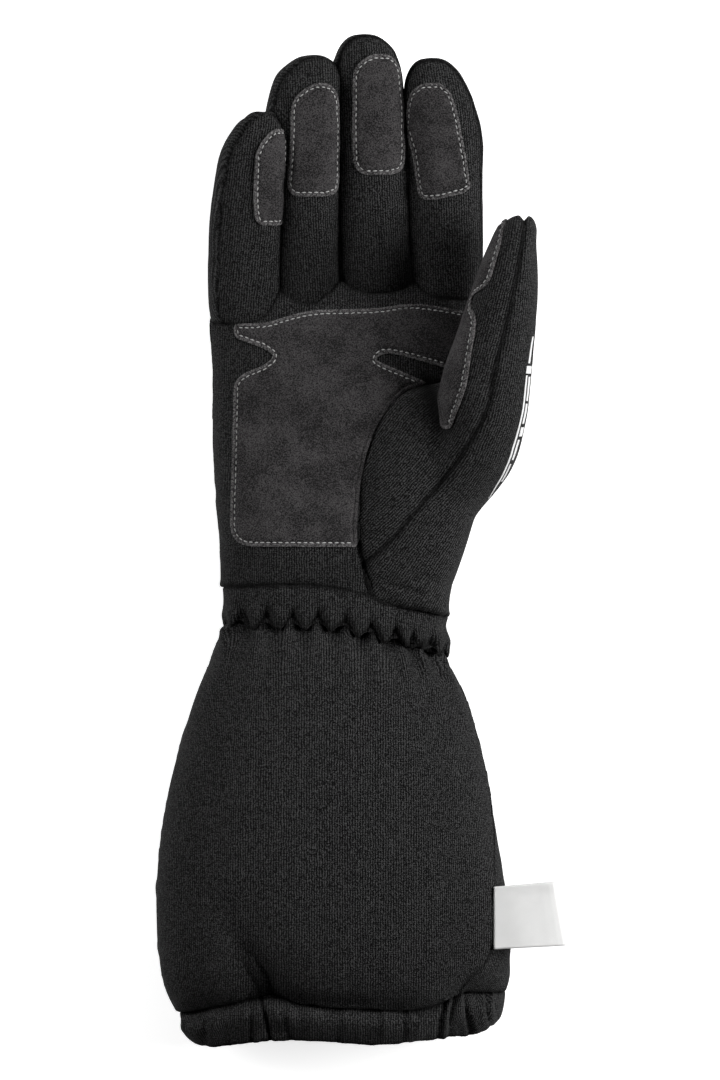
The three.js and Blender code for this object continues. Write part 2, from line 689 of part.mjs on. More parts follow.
// The grip patches.
const palmSkin = tube(handRows, "hand", PATCH_GAP + SUEDE).subtract(tube(handRows, "hand", PATCH_GAP));
const palmPatch = palmSkin.intersect(prism(rounded(PALM_PATCH), PALM_SPLIT));
addPiece("palm_patch", cutBy(palmPatch, clearOfHand), SUEDE_FINISH);
fingers.forEach((finger, i) => {
  const overPatch = PATCH_GAP + SUEDE + 3 * GAP;
  const nearer = fingers.slice(0, i).map((other) => tube(other.all, "finger", overPatch));
  const further = fingers.slice(i + 1).map((other) => tube(other.all, "finger", GAP));
  const patch = cutBy(fingerPatch(finger), [...nearer, ...further]);
  addPiece(`${finger.name}_finger_patch`, patch, SUEDE_FINISH);
});
addPiece("thumb_patch", thumbPatch().subtract(thenarMound(PATCH_GAP)), SUEDE_FINISH);

// How much lower the wrist band's edge runs towards the thumb's side.
const droopAt = (x) => Math.max(0, x - DROOP.fromX) * DROOP.slope;

// Columns that lie in turn on the crest and in the trough of a row of pleats, from a crest at startX.
function pleatColumns(section, pleats, square, startX) {
  const angles = evenAngles(section, 2 * pleats, square, startX);
  return angles.map((angle, j) => ({ angle, wave: j % 2 === 0 ? 1 : -1 }));
}

// The wrist: a gathered elastic band.
function wristBand() {
  const sectionAt = profile(centred(WRIST));
  const seamAt = profile(WRIST_SEAM, "x");
  const middle = sectionAt(ZIGZAG.y);
  const surface = (grow) => (share, { angle, wave }) => {
    const { x } = sectionPoint(middle, 0, angle, grow, SQUARE.wrist);
    const edge = ZIGZAG.y - droopAt(x) + (wave * ZIGZAG.height) / 2;
    const y = lerp(edge, seamAt(x).y - GAP, share);
    const pleat = grow === 0 ? ZIGZAG.pleat * wave * (1 - share) : 0;
    return sectionPoint(sectionAt(y), y, angle, grow - pleat, SQUARE.wrist);
  };
  const columns = pleatColumns(middle, ZIGZAG.teeth, SQUARE.wrist, ZIGZAG.peakX);
  return shell([0, 0.5, 1], columns, surface(0), surface(-WALL.wrist), true);
}
addPiece("wrist_band", solidOf(wristBand()), KNIT);

// The cuff: a front panel over a back panel, meeting in two side seams.
function cuffPanel(front) {
  const sectionAt = profile(centred(CUFF));
  const seamAt = profile(CUFF_SEAM);
  const hemAt = profile(HEM_SEAM, "x");
  const hemY = CUFF[0].y;
  const angleOf = (y, share) => {
    const right = seamAt(y).angle;
    if (front) return degToRad(lerp(right + KERF_ANGLE, CUFF_LEFT_SEAM - KERF_ANGLE, share));
    return degToRad(lerp(CUFF_LEFT_SEAM + KERF_ANGLE, right + 360 - KERF_ANGLE, share));
  };
  const surface = (grow) => (row, share) => {
    const section = sectionAt(row);
    const angle = angleOf(row, share);
    const { x } = sectionPoint(section, 0, angle, 0, SQUARE.cuff);
    const toHem = (hemAt(x).y - hemY) * (1 - smoothstep(row, hemY, FOLD.fromY));
    const toWrist = droopAt(x) * smoothstep(row, DROOP.fade.from, DROOP.fade.to);
    const y = row + toHem - toWrist;
    const swing = smoothstep(seamAt(row).angle, SEAM_LIFT.from, SEAM_LIFT.to);
    const lift = SEAM_LIFT.height * swing * Math.exp(-((share / SEAM_LIFT.width) ** 2));
    const point = sectionPoint(section, y, angle, front && grow === 0 ? lift : grow, SQUARE.cuff);
    const foldX = FOLD.x + (FOLD.fromY - y) * FOLD.drift;
    const fold = smoothstep(-y, -FOLD.fromY, -FOLD.toY) * Math.exp(-(((x - foldX) / FOLD.width) ** 2));
    if (front) point.z -= FOLD.depth * fold;
    return point;
  };
  const rows = [hemY - HEM_OVERLAP, ...CUFF.map(({ y }) => y)];
  const columns = shares(front ? CUFF_SIDES.front : CUFF_SIDES.back);
  return solidOf(shell(rows, columns, surface(0), surface(-WALL.cuff))).intersect(beyond(HEM_SEAM, KERF, 26));
}
addPiece("cuff_front_panel", cuffPanel(true), KNIT);
addPiece("cuff_back_panel", cuffPanel(false), KNIT);

// The hem: a gathered elastic band at the open end.
function hemBand() {
  const sectionAt = profile(centred(HEM));
  const edgeAt = profile(HEM_EDGE, "x");
  const seamAt = profile(HEM_SEAM, "x");
  const middle = sectionAt((HEM[0].y + HEM.at(-1).y) / 2);
  const surface = (grow) => (share, { angle, wave }) => {
    const { x } = sectionPoint(middle, 0, angle, grow, SQUARE.cuff);
    const y = lerp(edgeAt(x).y, seamAt(x).y, share);
    const row = lerp(HEM[0].y, HEM.at(-1).y, share);
    const bulge = Math.max(0, Math.sin(Math.PI * share));
    const gather = grow === 0 ? HEM_GATHERS.depth * (wave - 1) * bulge : 0;
    return sectionPoint(sectionAt(row), y, angle, grow + gather, SQUARE.cuff);
  };
  const columns = pleatColumns(middle, HEM_GATHERS.count, SQUARE.cuff, HEM_GATHERS.startX);
  const band = solidOf(shell([0, 0.3, 0.7, 1.5], columns, surface(0), surface(-WALL.hem), true));
  return band.subtract(beyond(HEM_SEAM, -KERF, 26));
}
addPiece("hem_band", hemBand(), KNIT);

function sewnTag() {
  const loop = new THREE.CatmullRomCurve3(
    TAG_LOOP.map(({ reach, height }) => new THREE.Vector3(reach, 0, height)),
  );
  const surface = (side) => (y, share) => {
    const reach = THREE.MathUtils.mapLinear(y, TAG.low, TAG.high, TAG.lowReach, TAG.highReach);
    const along = loop.getTangent(share);
    const across = new THREE.Vector3(along.z, 0, -along.x * reach).normalize();
    const { x, z } = loop.getPoint(share);
    const middle = new THREE.Vector3(TAG.x + x * reach, y, TAG.z + z - TAG.fall * x * reach);
    return middle.addScaledVector(across, (side * TAG.tape) / 2);
  };
  return solidOf(shell([TAG.low, TAG.high], shares(TAG_STEPS), surface(1), surface(-1)));
}
addPiece("sewn_tag", sewnTag(), TAPE_FINISH);

export default glove;
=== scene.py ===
# %% [markdown]
# # A long racing glove
#
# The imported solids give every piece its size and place. Here each of them gets a surface: soft knit panels,
# suede patches sewn on with pale thread, a gathered wrist and hem, and a folded tape tag. The glove lies
# palm up, fingers towards +Y and thumb towards +X, in metres.

# %% The frame
import json
import math

import bmesh
import bpy
import numpy as np
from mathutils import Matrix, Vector
from mathutils.bvhtree import BVHTree
from mathutils.geometry import delaunay_2d_cdt
from mathutils.kdtree import KDTree

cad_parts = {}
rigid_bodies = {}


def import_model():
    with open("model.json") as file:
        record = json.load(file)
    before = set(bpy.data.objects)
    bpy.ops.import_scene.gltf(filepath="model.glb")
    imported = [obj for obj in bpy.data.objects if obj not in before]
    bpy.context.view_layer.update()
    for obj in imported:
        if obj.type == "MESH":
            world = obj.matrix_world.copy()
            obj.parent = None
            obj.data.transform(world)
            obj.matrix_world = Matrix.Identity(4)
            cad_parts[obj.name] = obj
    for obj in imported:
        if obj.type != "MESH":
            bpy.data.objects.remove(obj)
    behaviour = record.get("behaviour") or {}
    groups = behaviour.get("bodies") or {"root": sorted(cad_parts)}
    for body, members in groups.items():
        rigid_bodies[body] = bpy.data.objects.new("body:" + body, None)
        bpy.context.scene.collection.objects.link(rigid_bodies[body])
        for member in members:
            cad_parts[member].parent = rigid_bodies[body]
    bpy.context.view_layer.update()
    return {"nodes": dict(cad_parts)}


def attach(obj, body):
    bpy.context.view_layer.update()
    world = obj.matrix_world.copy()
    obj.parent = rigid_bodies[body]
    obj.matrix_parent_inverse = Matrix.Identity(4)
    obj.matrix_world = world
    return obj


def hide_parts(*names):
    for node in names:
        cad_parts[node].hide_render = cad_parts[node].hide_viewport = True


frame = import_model()
solids = frame["nodes"]
MM = 0.001

# %% [markdown]
# ## Small tools
#
# Blender's operators act on what is selected, so one helper selects a single object, and another applies a
# modifier as soon as it is added. Numbers move between a mesh and numpy in one call, which is what makes
# work on thousands of points quick.

# %% Tools


def alone(piece):
    """Makes one object the only selected and the active one."""
    bpy.ops.object.select_all(action="DESELECT")
    piece.select_set(True)
    bpy.context.view_layer.objects.active = piece


def apply_modifier(piece, kind, **settings):
    """Adds a modifier with its settings and applies it at once."""
    alone(piece)
    modifier = piece.modifiers.new(kind.title(), kind)
    for key, value in settings.items():
        setattr(modifier, key, value)
    bpy.ops.object.modifier_apply(modifier=modifier.name)


def points_of(mesh):
    """A mesh's points as rows of x, y and z."""
    flat = np.empty(len(mesh.vertices) * 3)
    mesh.vertices.foreach_get("co", flat)
    return flat.reshape(-1, 3)


def normals_of(mesh):
    """The direction that each of a mesh's points faces."""
    flat = np.empty(len(mesh.vertices) * 3)
    mesh.vertex_normals.foreach_get("vector", flat)
    return flat.reshape(-1, 3)


def move_points(mesh, points):
    """Puts a mesh's points where the rows say."""
    mesh.vertices.foreach_set("co", points.ravel())
    mesh.update()


def faces_of(mesh):
    """A mesh's faces, each as the numbers of its points."""
    return [tuple(p.vertices) for p in mesh.polygons]


def add_mesh(name, points, faces, *materials):
    """A new object from points, faces and materials."""
    mesh = bpy.data.meshes.new(name)
    mesh.from_pydata([tuple(p) for p in points], [], [tuple(f) for f in faces])
    for material in materials:
        mesh.materials.append(material)
    piece = bpy.data.objects.new(name, mesh)
    bpy.context.collection.objects.link(piece)
    return piece


def join(parts):
    """Several pairs of points and faces as one pair."""
    points, faces = [], []
    for more_points, more_faces in parts:
        start = len(points)
        points += list(more_points)
        faces += [tuple(start + i for i in face) for face in more_faces]
    return points, faces


def surface_of(*pieces):
    """A tree of one or more pieces' faces, to cast rays at."""
    return BVHTree.FromPolygons(*join(([v.co for v in p.data.vertices], faces_of(p.data)) for p in pieces))


def ways_along(points):
    """How far along a row of points each of them is."""
    return np.concatenate([[0], np.cumsum(np.linalg.norm(np.diff(points, axis=0), axis=1))])


def off_line(points, a, b):
    """Each point's offset from the line between a and b, and the nearest place's share of the way."""
    step = b - a
    share = np.clip((points - a) @ step / (step @ step), 0, 1)
    return points - a - share[:, None] * step, share


def smooth_step(value, low, high):
    """0 below low, 1 above high, and a soft change between them."""
    share = np.clip((value - low) / (high - low), 0, 1)
    return share * share * (3 - 2 * share)


def bell(off):
    """1 at no distance, and falling softly to 0 on both sides."""
    return np.exp(-(off**2))


def cloud(points, size, seed):
    """Smooth noise from -1 to 1, its lumps about size across along each axis."""
    cells = 32
    table = np.random.default_rng(seed).uniform(-1, 1, (cells, cells, cells))
    place = points / np.asarray(size)
    cell = np.floor(place).astype(int)
    share = place - cell
    share = share * share * (3 - 2 * share)
    total = np.zeros(len(points))
    for corner in np.ndindex(2, 2, 2):
        weight = np.prod(np.where(corner, share, 1 - share), axis=1)
        x, y, z = ((cell + corner) % cells).T
        total += weight * table[x, y, z]
    return total


# %% [markdown]
# ## The knit
#
# Ribbed knit is rows of tiny loops stacked in columns, so it shows fine ribs that run along each panel. The
# ribs follow a UV map measured in metres: u counts across the ribs and v along them. One node group draws
# them, and its noise makes the yarn's own tone uneven. The group gives a colour, with painted shade between
# the ribs and loops, and a height, and the material turns the height into a bump.

# %% Node helpers


def new_group(name, inputs, outputs):
    """A shader node group with float or colour inputs and outputs."""
    group = bpy.data.node_groups.new(name, "ShaderNodeTree")
    for label, kind, value in inputs:
        socket = group.interface.new_socket(label, in_out="INPUT", socket_type=kind)
        if value is not None:
            socket.default_value = value
    for label, kind in outputs:
        group.interface.new_socket(label, in_out="OUTPUT", socket_type=kind)
    return group


def node(tree, kind, values=(), **settings):
    """A node with its settings, and values or links for its inputs by name or number."""
    made = tree.nodes.new(kind)
    for key, value in settings.items():
        setattr(made, key, value)
    for key, value in dict(values).items():
        socket = made.inputs[key]
        if isinstance(value, bpy.types.NodeSocket):
            tree.links.new(value, socket)
        else:
            socket.default_value = value
    return made


def math_node(tree, operation, *values):
    """The result of one sum on numbers or sockets."""
    return node(tree, "ShaderNodeMath", dict(enumerate(values)), operation=operation).outputs[0]


def noise_node(tree, vector, scale, detail=2.0, roughness=0.5):
    """Noise between 0 and 1 at a vector."""
    values = {"Vector": vector, "Scale": scale, "Detail": detail, "Roughness": roughness}
    return node(tree, "ShaderNodeTexNoise", values).outputs[0]


def noises(tree, vector, table):
    """Several noises by name, each from its scale, detail and roughness."""
    return {name: noise_node(tree, vector, *values) for name, values in table.items()}


def weighted(tree, parts, weights, offset=0.0):
    """The sum of an offset and of named parts, each times its weight."""
    total = offset
    for name, weight in weights.items():
        total = math_node(tree, "MULTIPLY_ADD", parts[name], weight, total)
    return total


def clamp(tree, value):
    """A value kept between 0 and 1."""
    return node(tree, "ShaderNodeClamp", {0: value}).outputs[0]


def colour_mix(tree, factor, first, second):
    """A colour between two others."""
    values = {0: factor, 6: first, 7: second}
    return node(tree, "ShaderNodeMix", values, data_type="RGBA").outputs[2]


# %% The rib pattern
COLOUR, FLOAT, VECTOR = "NodeSocketColor", "NodeSocketFloat", "NodeSocketVector"
TURN = 2 * math.pi
# Each noise's scale, detail and roughness, and how much the pattern's parts raise and lighten the yarn.
# The ribs and loops lighten their crests and darken the grooves, as painted shade; fuzz and lumps are the
# yarn's own tone.
RIB_NOISES = {"wander": (260.0, 2.0), "fuzz": (1800.0, 3.0, 0.7), "lumps": (420.0, 2.0, 0.6)}
WANDER, LEAN = 0.9, 0.4
RIB_HEIGHT = {"rib": 0.5, "loop": 0.25, "fuzz": 3.4}
RIB_TONE = {"rib": 0.55, "loop": 0.12, "fuzz": 7.4, "lumps": 0.6}
HEIGHT_OFFSET, TONE_OFFSET = -1.7, -3.8
rib_group = new_group(
    "rib_knit",
    [
        ("Along", VECTOR, None),
        ("Place", VECTOR, None),
        ("Rib width", FLOAT, 0.00095),
        ("Loop length", FLOAT, 0.0008),
        ("Yarn", COLOUR, (0.063, 0.063, 0.0635, 1)),
        ("Shade", COLOUR, (0.002, 0.002, 0.0021, 1)),
    ],
    [("Colour", COLOUR), ("Height", FLOAT)],
)
tree = rib_group
given = node(tree, "NodeGroupInput").outputs
split = node(tree, "ShaderNodeSeparateXYZ", {0: given["Along"]}).outputs
parts = noises(tree, given["Place"], RIB_NOISES)
across = math_node(tree, "DIVIDE", split[0], given["Rib width"])
across = math_node(tree, "MULTIPLY_ADD", parts["wander"], WANDER, across)
parts["rib"] = math_node(tree, "COSINE", math_node(tree, "MULTIPLY", across, TURN))
along = math_node(tree, "DIVIDE", split[1], given["Loop length"])
along = math_node(tree, "MULTIPLY_ADD", math_node(tree, "ABSOLUTE", parts["rib"]), LEAN, along)
parts["loop"] = math_node(tree, "SINE", math_node(tree, "MULTIPLY", along, TURN))
height = weighted(tree, parts, RIB_HEIGHT, HEIGHT_OFFSET)
tone = clamp(tree, weighted(tree, parts, RIB_TONE, TONE_OFFSET))
colour = colour_mix(tree, tone, given["Shade"], given["Yarn"])
node(tree, "NodeGroupOutput", {"Colour": colour, "Height": height})
print("rib_knit nodes:", len(tree.nodes))

# %% [markdown]
# ## The suede
#
# Suede is leather brushed to a short nap. The nap lies different ways, which makes soft light and dark
# clouds, and single fibres make a fine grain. The cut edge is paler and fluffy, and the row of stitches
# presses a darker line. An attribute called edge tells the material how near the cut a point is.

# %% The nap pattern
NAP_NOISES = {"clouds": (90.0, 4.0, 0.6), "grain": (2100.0, 2.0, 0.6), "tufts": (520.0, 3.0, 0.65)}
NAP_TONE, NAP_OFFSET = {"clouds": 1.7, "grain": 4.2, "tufts": 0.6}, -2.85
NAP_HEIGHT = {"grain": 0.6, "tufts": 0.5}
nap_group = new_group(
    "suede_nap",
    [
        ("Place", VECTOR, None),
        ("Light", COLOUR, (0.072, 0.068, 0.0695, 1)),
        ("Dark", COLOUR, (0.0095, 0.009, 0.0093, 1)),
    ],
    [("Colour", COLOUR), ("Height", FLOAT)],
)
tree = nap_group
given = node(tree, "NodeGroupInput").outputs
parts = noises(tree, given["Place"], NAP_NOISES)
tone = clamp(tree, weighted(tree, parts, NAP_TONE, NAP_OFFSET))
colour = colour_mix(tree, tone, given["Dark"], given["Light"])
node(tree, "NodeGroupOutput", {"Colour": colour, "Height": weighted(tree, parts, NAP_HEIGHT)})
print("suede_nap nodes:", len(tree.nodes))

# %% Materials
FINISH = {"Specular IOR Level": 0.1, "Sheen Roughness": 0.6}
# How high each pattern raises its material, in metres.
RIB_RISE, NAP_RISE, THREAD_RISE, TAPE_RISE, PRINT_RISE = 0.0002, 0.00015, 0.0001, 0.00004, 0.00005


def new_material(name, roughness, sheen=0.0):
    """A material with one Principled shader, and its tree, shader and object coordinates."""
    material = bpy.data.materials.new(name)
    material.use_nodes = True
    tree = material.node_tree
    shader = tree.nodes["Principled BSDF"]
    for label, value in {**FINISH, "Roughness": roughness, "Sheen Weight": sheen}.items():
        shader.inputs[label].default_value = value
    place = node(tree, "ShaderNodeTexCoord").outputs["Object"]
    return material, tree, shader, place


def dress(tree, shader, colour, height, distance):
    """Gives a shader its colour, and a surface that a height pattern raises."""
    tree.links.new(colour, shader.inputs["Base Color"])
    bump = node(tree, "ShaderNodeBump", {"Height": height, "Distance": distance, "Strength": 1.0})
    tree.links.new(bump.outputs[0], shader.inputs["Normal"])


def attribute(tree, name):
    """The values of a mesh attribute."""
    return node(tree, "ShaderNodeAttribute", attribute_name=name).outputs["Fac"]


# How much painted shade darkens the knit at seams, pleats and folds, and the colour that it darkens to.
PAINTED_SHADE_DEPTH, PAINTED_SHADE_COLOUR = 0.95, (0.0008, 0.0008, 0.0008, 1)
# The cut edge's loose fibres: their noise, its gain and offset, and their colour.
FIBRES, FLUFF_GAIN, FLUFF_OFFSET, FLUFF = (1500.0, 3.0, 0.7), 5.5, -2.5, (0.2, 0.195, 0.195, 1)


def knit_material():
    """Black ribbed knit."""
    material, tree, shader, place = new_material("black_knit", 0.95, 0.02)
    ribs = node(tree, "ShaderNodeUVMap", uv_map="ribs").outputs[0]
    pattern = node(tree, "ShaderNodeGroup", {"Along": ribs, "Place": place}, node_tree=rib_group).outputs
    # Painted shade: the mesh's attribute darkens the knit's colour towards near black.
    painted_shade = clamp(tree, math_node(tree, "MULTIPLY", attribute(tree, "painted_shade"), PAINTED_SHADE_DEPTH))
    dress(tree, shader, colour_mix(tree, painted_shade, pattern["Colour"], PAINTED_SHADE_COLOUR), pattern["Height"], RIB_RISE)
    return material


def suede_material():
    """Dark grey suede, paler at its cut edge."""
    material, tree, shader, place = new_material("dark_suede", 1.0, 0.04)
    pattern = node(tree, "ShaderNodeGroup", {"Place": place}, node_tree=nap_group).outputs
    fibres = math_node(tree, "MULTIPLY_ADD", noise_node(tree, place, *FIBRES), FLUFF_GAIN, FLUFF_OFFSET)
    fluff = clamp(tree, math_node(tree, "MULTIPLY", attribute(tree, "edge"), fibres))
    dress(tree, shader, colour_mix(tree, fluff, pattern["Colour"], FLUFF), pattern["Height"], NAP_RISE)
    return material


def speckled_material(name, roughness, sheen, noise, dark, light, distance):
    """A plain finish whose colour and height change a little with one noise."""
    material, tree, shader, place = new_material(name, roughness, sheen)
    speckle = noise_node(tree, place, *noise)
    dress(tree, shader, colour_mix(tree, speckle, (*dark, 1), (*light, 1)), speckle, distance)
    return material


# The tape's thread pitch in metres, how much the weave and soil change its tone, and its two tones.
TAPE_PITCH, WEAVE_TONE, SOIL, SOIL_SCALE, SOIL_OFFSET = 0.0005, 0.12, 0.4, 160.0, 0.35
TAPE_TONES = (0.72, 0.72, 0.715, 1), (0.94, 0.94, 0.93, 1)


def tape_material():
    """Plain white woven tape: fine threads over and under each other."""
    material, tree, shader, place = new_material("white_tape", 0.6)
    split = node(tree, "ShaderNodeSeparateXYZ", {0: place}).outputs
    warp, weft = (
        math_node(tree, "SINE", math_node(tree, "MULTIPLY", split[k], TURN / TAPE_PITCH)) for k in (0, 1)
    )
    weave = math_node(tree, "MULTIPLY", warp, weft)
    parts = {"weave": weave, "soil": noise_node(tree, place, SOIL_SCALE, 4.0)}
    tone = weighted(tree, parts, {"weave": WEAVE_TONE, "soil": SOIL}, SOIL_OFFSET)
    dress(tree, shader, colour_mix(tree, tone, *TAPE_TONES), weave, TAPE_RISE)
    return material


knit = knit_material()
suede = suede_material()
# Pale grey sewing thread with a fine twist, and white rubbery print, worn a little by the cloth below it.
thread = speckled_material(
    "pale_thread", 0.7, 0.1, (2500.0, 1.0), (0.24, 0.24, 0.24), (0.66, 0.66, 0.65), THREAD_RISE
)
tape = tape_material()
white_print = speckled_material(
    "white_print", 0.5, 0.0, (900.0, 4.0, 0.7), (0.7, 0.7, 0.7), (0.88, 0.88, 0.88), PRINT_RISE
)
print("materials:", [m.name for m in (knit, suede, thread, tape, white_print)])

# %% [markdown]
# ## Soft panels
#
# Each knit panel is a copy of its solid. Its loose triangles are merged, its flat facets are rounded by a
# subdivision that keeps the sewn edges, and a voxel remesh gives it an even skin. Smoothing then rounds
# the edges as thick cloth turns in at a seam. Low noise makes the padding uneven, more so near a seam,
# where the stitches pucker it. This was chosen over cloth simulation because the panels are tight over
# the hand's shape and their forms are already in the solids.

# %% Panels
SHARP = math.radians(50)
RIM_STEP, MERGE = 1.5 * MM, 0.001 * MM
SOFT_LEVELS, FIRST_ROUNDS = 10, 3
FLAT_QUADS = {"face_threshold": 0.35, "shape_threshold": 0.9}


def rim_points(piece):
    """Marks a copied solid's sharp outer edges to stay sharp, and gives points along them."""
    bm = bmesh.new()
    bm.from_mesh(piece.data)
    crease = bm.edges.layers.float.new("crease_edge")
    rim = []
    for edge in bm.edges:
        if edge.is_convex and edge.calc_face_angle(0) > SHARP:
            edge[crease] = 1
            a, b = (v.co for v in edge.verts)
            steps = max(1, math.ceil((b - a).length / RIM_STEP))
            rim += [a.lerp(b, k / steps) for k in range(steps + 1)]
    bm.to_mesh(piece.data)
    bm.free()
    return rim


def distances(points, others):
    """How far each point is from the nearest of some others."""
    finder = KDTree(len(others))
    for i, other in enumerate(others):
        finder.insert(other, i)
    finder.balance()
    return np.array([finder.find(p)[2] for p in points])


def soften(piece, far, low, high, rounds):
    """Smooths the points that are far from a rim more than those near it."""
    group = piece.vertex_groups.new(name="soft")
    share = np.round(smooth_step(far, low, high) * SOFT_LEVELS)
    for level in range(1, SOFT_LEVELS + 1):
        group.add([int(i) for i in np.flatnonzero(share == level)], level / SOFT_LEVELS, "REPLACE")
    apply_modifier(piece, "SMOOTH", factor=0.5, iterations=rounds, vertex_group="soft")
    piece.vertex_groups.clear()


def drop_crumbs(piece):
    """Deletes small loose parts that a remesh can leave, and keeps the part with the highest point."""
    mesh = piece.data
    for part in (mesh.vertices, mesh.edges, mesh.polygons):
        part.foreach_set("select", [False] * len(part))
    mesh.vertices[int(points_of(mesh)[:, 2].argmax())].select = True
    alone(piece)
    bpy.ops.object.mode_set(mode="EDIT")
    bpy.ops.mesh.select_mode(type="VERT")
    bpy.ops.mesh.select_linked()
    bpy.ops.mesh.select_all(action="INVERT")
    bpy.ops.mesh.delete(type="VERT")
    bpy.ops.object.mode_set(mode="OBJECT")


def paint_shade(piece, values):
    """Raises the painted shade: an attribute that darkens the knit's colour at seams, pleats and folds, where
    light doesn't reach.
    """
    mesh = piece.data
    painted_shade = mesh.attributes.get("painted_shade") or mesh.attributes.new("painted_shade", "FLOAT", "POINT")
    old = np.zeros(len(mesh.vertices))
    painted_shade.data.foreach_get("value", old)
    painted_shade.data.foreach_set("value", np.maximum(old, values))


# How much fuller a panel is at its seams, how deep the seams sink, and how wide each is, in millimetres. The
# line widths are those of the painted shade along a seam, narrower on the thumb.
LIP, LIP_WIDTH, SINK_WIDTH, LINE_WIDTH, THUMB_LINE_WIDTH = 0.4, 1.3, 1.6, 1.1, 0.98
SINK = {"thumb_front_panel": 1.5, "thumb_back_panel": 1.5, "wrist_band": 0.5, "little_finger_front": 0.4,
        "ring_finger_front": 0.6}
USUAL_SINK = 0.8
# How dark the painted shade along a seam is. The fingers' outer seams are finer than the others.
SEAM_SHADE = {"little_finger_front": 0.45, "little_finger_back": 0.45, "ring_finger_front": 0.65,
              "ring_finger_back": 0.65}
# Unevenness in millimetres: its height, the size of its lumps and its seed. Puckers stay near a seam.
PADDING = [(0.22, 15, 1), (0.12, 6, 2)]
PUCKER, PUCKER_SIZE, PUCKER_SEED, PUCKER_REACH = 0.3, 4.5, 3, 4
NEAR_RIM, OFF_RIM = 1.5, 6


def soft_panel(name, voxel, swell, even):
    """A panel of padded knit from a solid. voxel and swell are in millimetres, even is rounds of smoothing."""
    piece = bpy.data.objects.new(name + "_knit", solids[name].data.copy())
    bpy.context.collection.objects.link(piece)
    piece.data.materials.clear()
    piece.data.materials.append(knit)
    alone(piece)
    bpy.ops.object.mode_set(mode="EDIT")
    bpy.ops.mesh.select_all(action="SELECT")
    bpy.ops.mesh.remove_doubles(threshold=MERGE)
    bpy.ops.mesh.tris_convert_to_quads(**FLAT_QUADS)
    bpy.ops.object.mode_set(mode="OBJECT")
    rim = rim_points(piece)
    apply_modifier(piece, "SUBSURF", levels=2, render_levels=2)
    apply_modifier(piece, "REMESH", mode="VOXEL", voxel_size=voxel * MM, use_smooth_shade=True)
    drop_crumbs(piece)
    apply_modifier(piece, "SMOOTH", factor=0.5, iterations=FIRST_ROUNDS)
    far = distances(points_of(piece.data), rim)
    soften(piece, far, NEAR_RIM * MM, OFF_RIM * MM, even)
    far = far / MM
    points, normals = points_of(piece.data), normals_of(piece.data)
    padding = sum(height * cloud(points, size * MM, seed) for height, size, seed in PADDING)
    pucker = PUCKER * cloud(points, PUCKER_SIZE * MM, PUCKER_SEED) * bell(far / PUCKER_REACH)
    points = points + normals * ((swell + padding + pucker + LIP * bell(far / LIP_WIDTH)) * MM)[:, None]
    sink = SINK.get(name, USUAL_SINK) * bell(far / SINK_WIDTH)
    points[:, 2] -= sink * MM * np.clip(normals[:, 2], 0, 1)
    move_points(piece.data, points)
    # Painted shade darkens the knit along each seam.
    line = THUMB_LINE_WIDTH if "thumb" in name else LINE_WIDTH
    paint_shade(piece, SEAM_SHADE.get(name, 1) * bell((far / line) ** 2))
    alone(piece)
    bpy.ops.object.shade_smooth()
    return piece


CUFFS = ("cuff_front_panel", "cuff_back_panel")
THUMBS = ("thumb_front_panel", "thumb_back_panel")
FINGER_PANELS = {
    finger: [f"{finger}_finger_{side}" for side in ("front", "back")]
    for finger in ("little", "ring", "middle", "index")
}
# name, voxel in millimetres, swell, rounds of smoothing
PANELS = [
    ("palm_panel", 0.8, 0.3, 40),
    ("back_panel", 0.9, 0.3, 40),
    ("thumb_front_panel", 0.7, 0.35, 40),
    ("thumb_back_panel", 0.7, 0.35, 40),
    *((name, voxel, 0.4, 24) for pair in FINGER_PANELS.values() for name, voxel in zip(pair, (0.7, 0.8))),
    ("wrist_band", 0.7, 0.25, 6),
    ("cuff_front_panel", 1.0, 0.35, 60),
    ("cuff_back_panel", 1.0, 0.35, 60),
    ("hem_band", 0.7, 0.3, 10),
]
panels = {}
for name, voxel, swell, even in PANELS:
    panels[name] = soft_panel(name, voxel, swell, even)
    print(name, len(panels[name].data.polygons), "faces")

# %% [markdown]
# ## Gathers
#
# Elastic sewn inside the wrist pulls the cloth into pleats: a zigzag row of stitches presses dimples into it,
# teeth bulge between them, and ridges fan out over the cuff below. The hem's elastic gathers it more
# loosely, mostly near the side seams. Each is a low relief, so it is added along the surface's own
# direction, from the places of the pleats as seen from the front.

# %% Wrist pleats
# The zigzag's upper points, x and y in millimetres, its height, and the middle of the waist.
PEAKS = np.array([
    (-62, -29), (-53, -28.5), (-43.9, -28.3), (-34.9, -27.9), (-25.1, -28.3), (-15.75, -28.3), (-5.25, -30.4),
    (4.1, -32.6), (13.5, -34.1), (19.9, -36.2), (26.6, -38.3), (33, -40), (42, -42),
])
ZIGZAG, WAIST = 3.6, -9.0


def pleat_phase(x):
    """Whole numbers at the zigzag's upper points, halves at its teeth. x is in millimetres."""
    return np.interp(x, PEAKS[:, 0], np.arange(len(PEAKS)))


def peak_height(x):
    """The height of the row of upper points at x, in millimetres."""
    return np.interp(x, PEAKS[:, 0], PEAKS[:, 1])


def zigzag(x):
    """The height of the zigzag row of stitches at x, in millimetres."""
    share = pleat_phase(x) % 1
    return peak_height(x) - ZIGZAG * (1 - np.abs(2 * share - 1))


def raise_points(piece, relief):
    """Moves a piece's points along its own direction by a relief in millimetres."""
    mesh = piece.data
    move_points(mesh, points_of(mesh) + normals_of(mesh) * (relief * MM)[:, None])


def valley(x, y, start, end, width, depth):
    """A soft valley between two points, with a round section."""
    off = off_line(np.column_stack([x, y]), np.array(start, float), np.array(end, float))[0]
    return -depth * bell(np.linalg.norm(off, axis=1) / width)


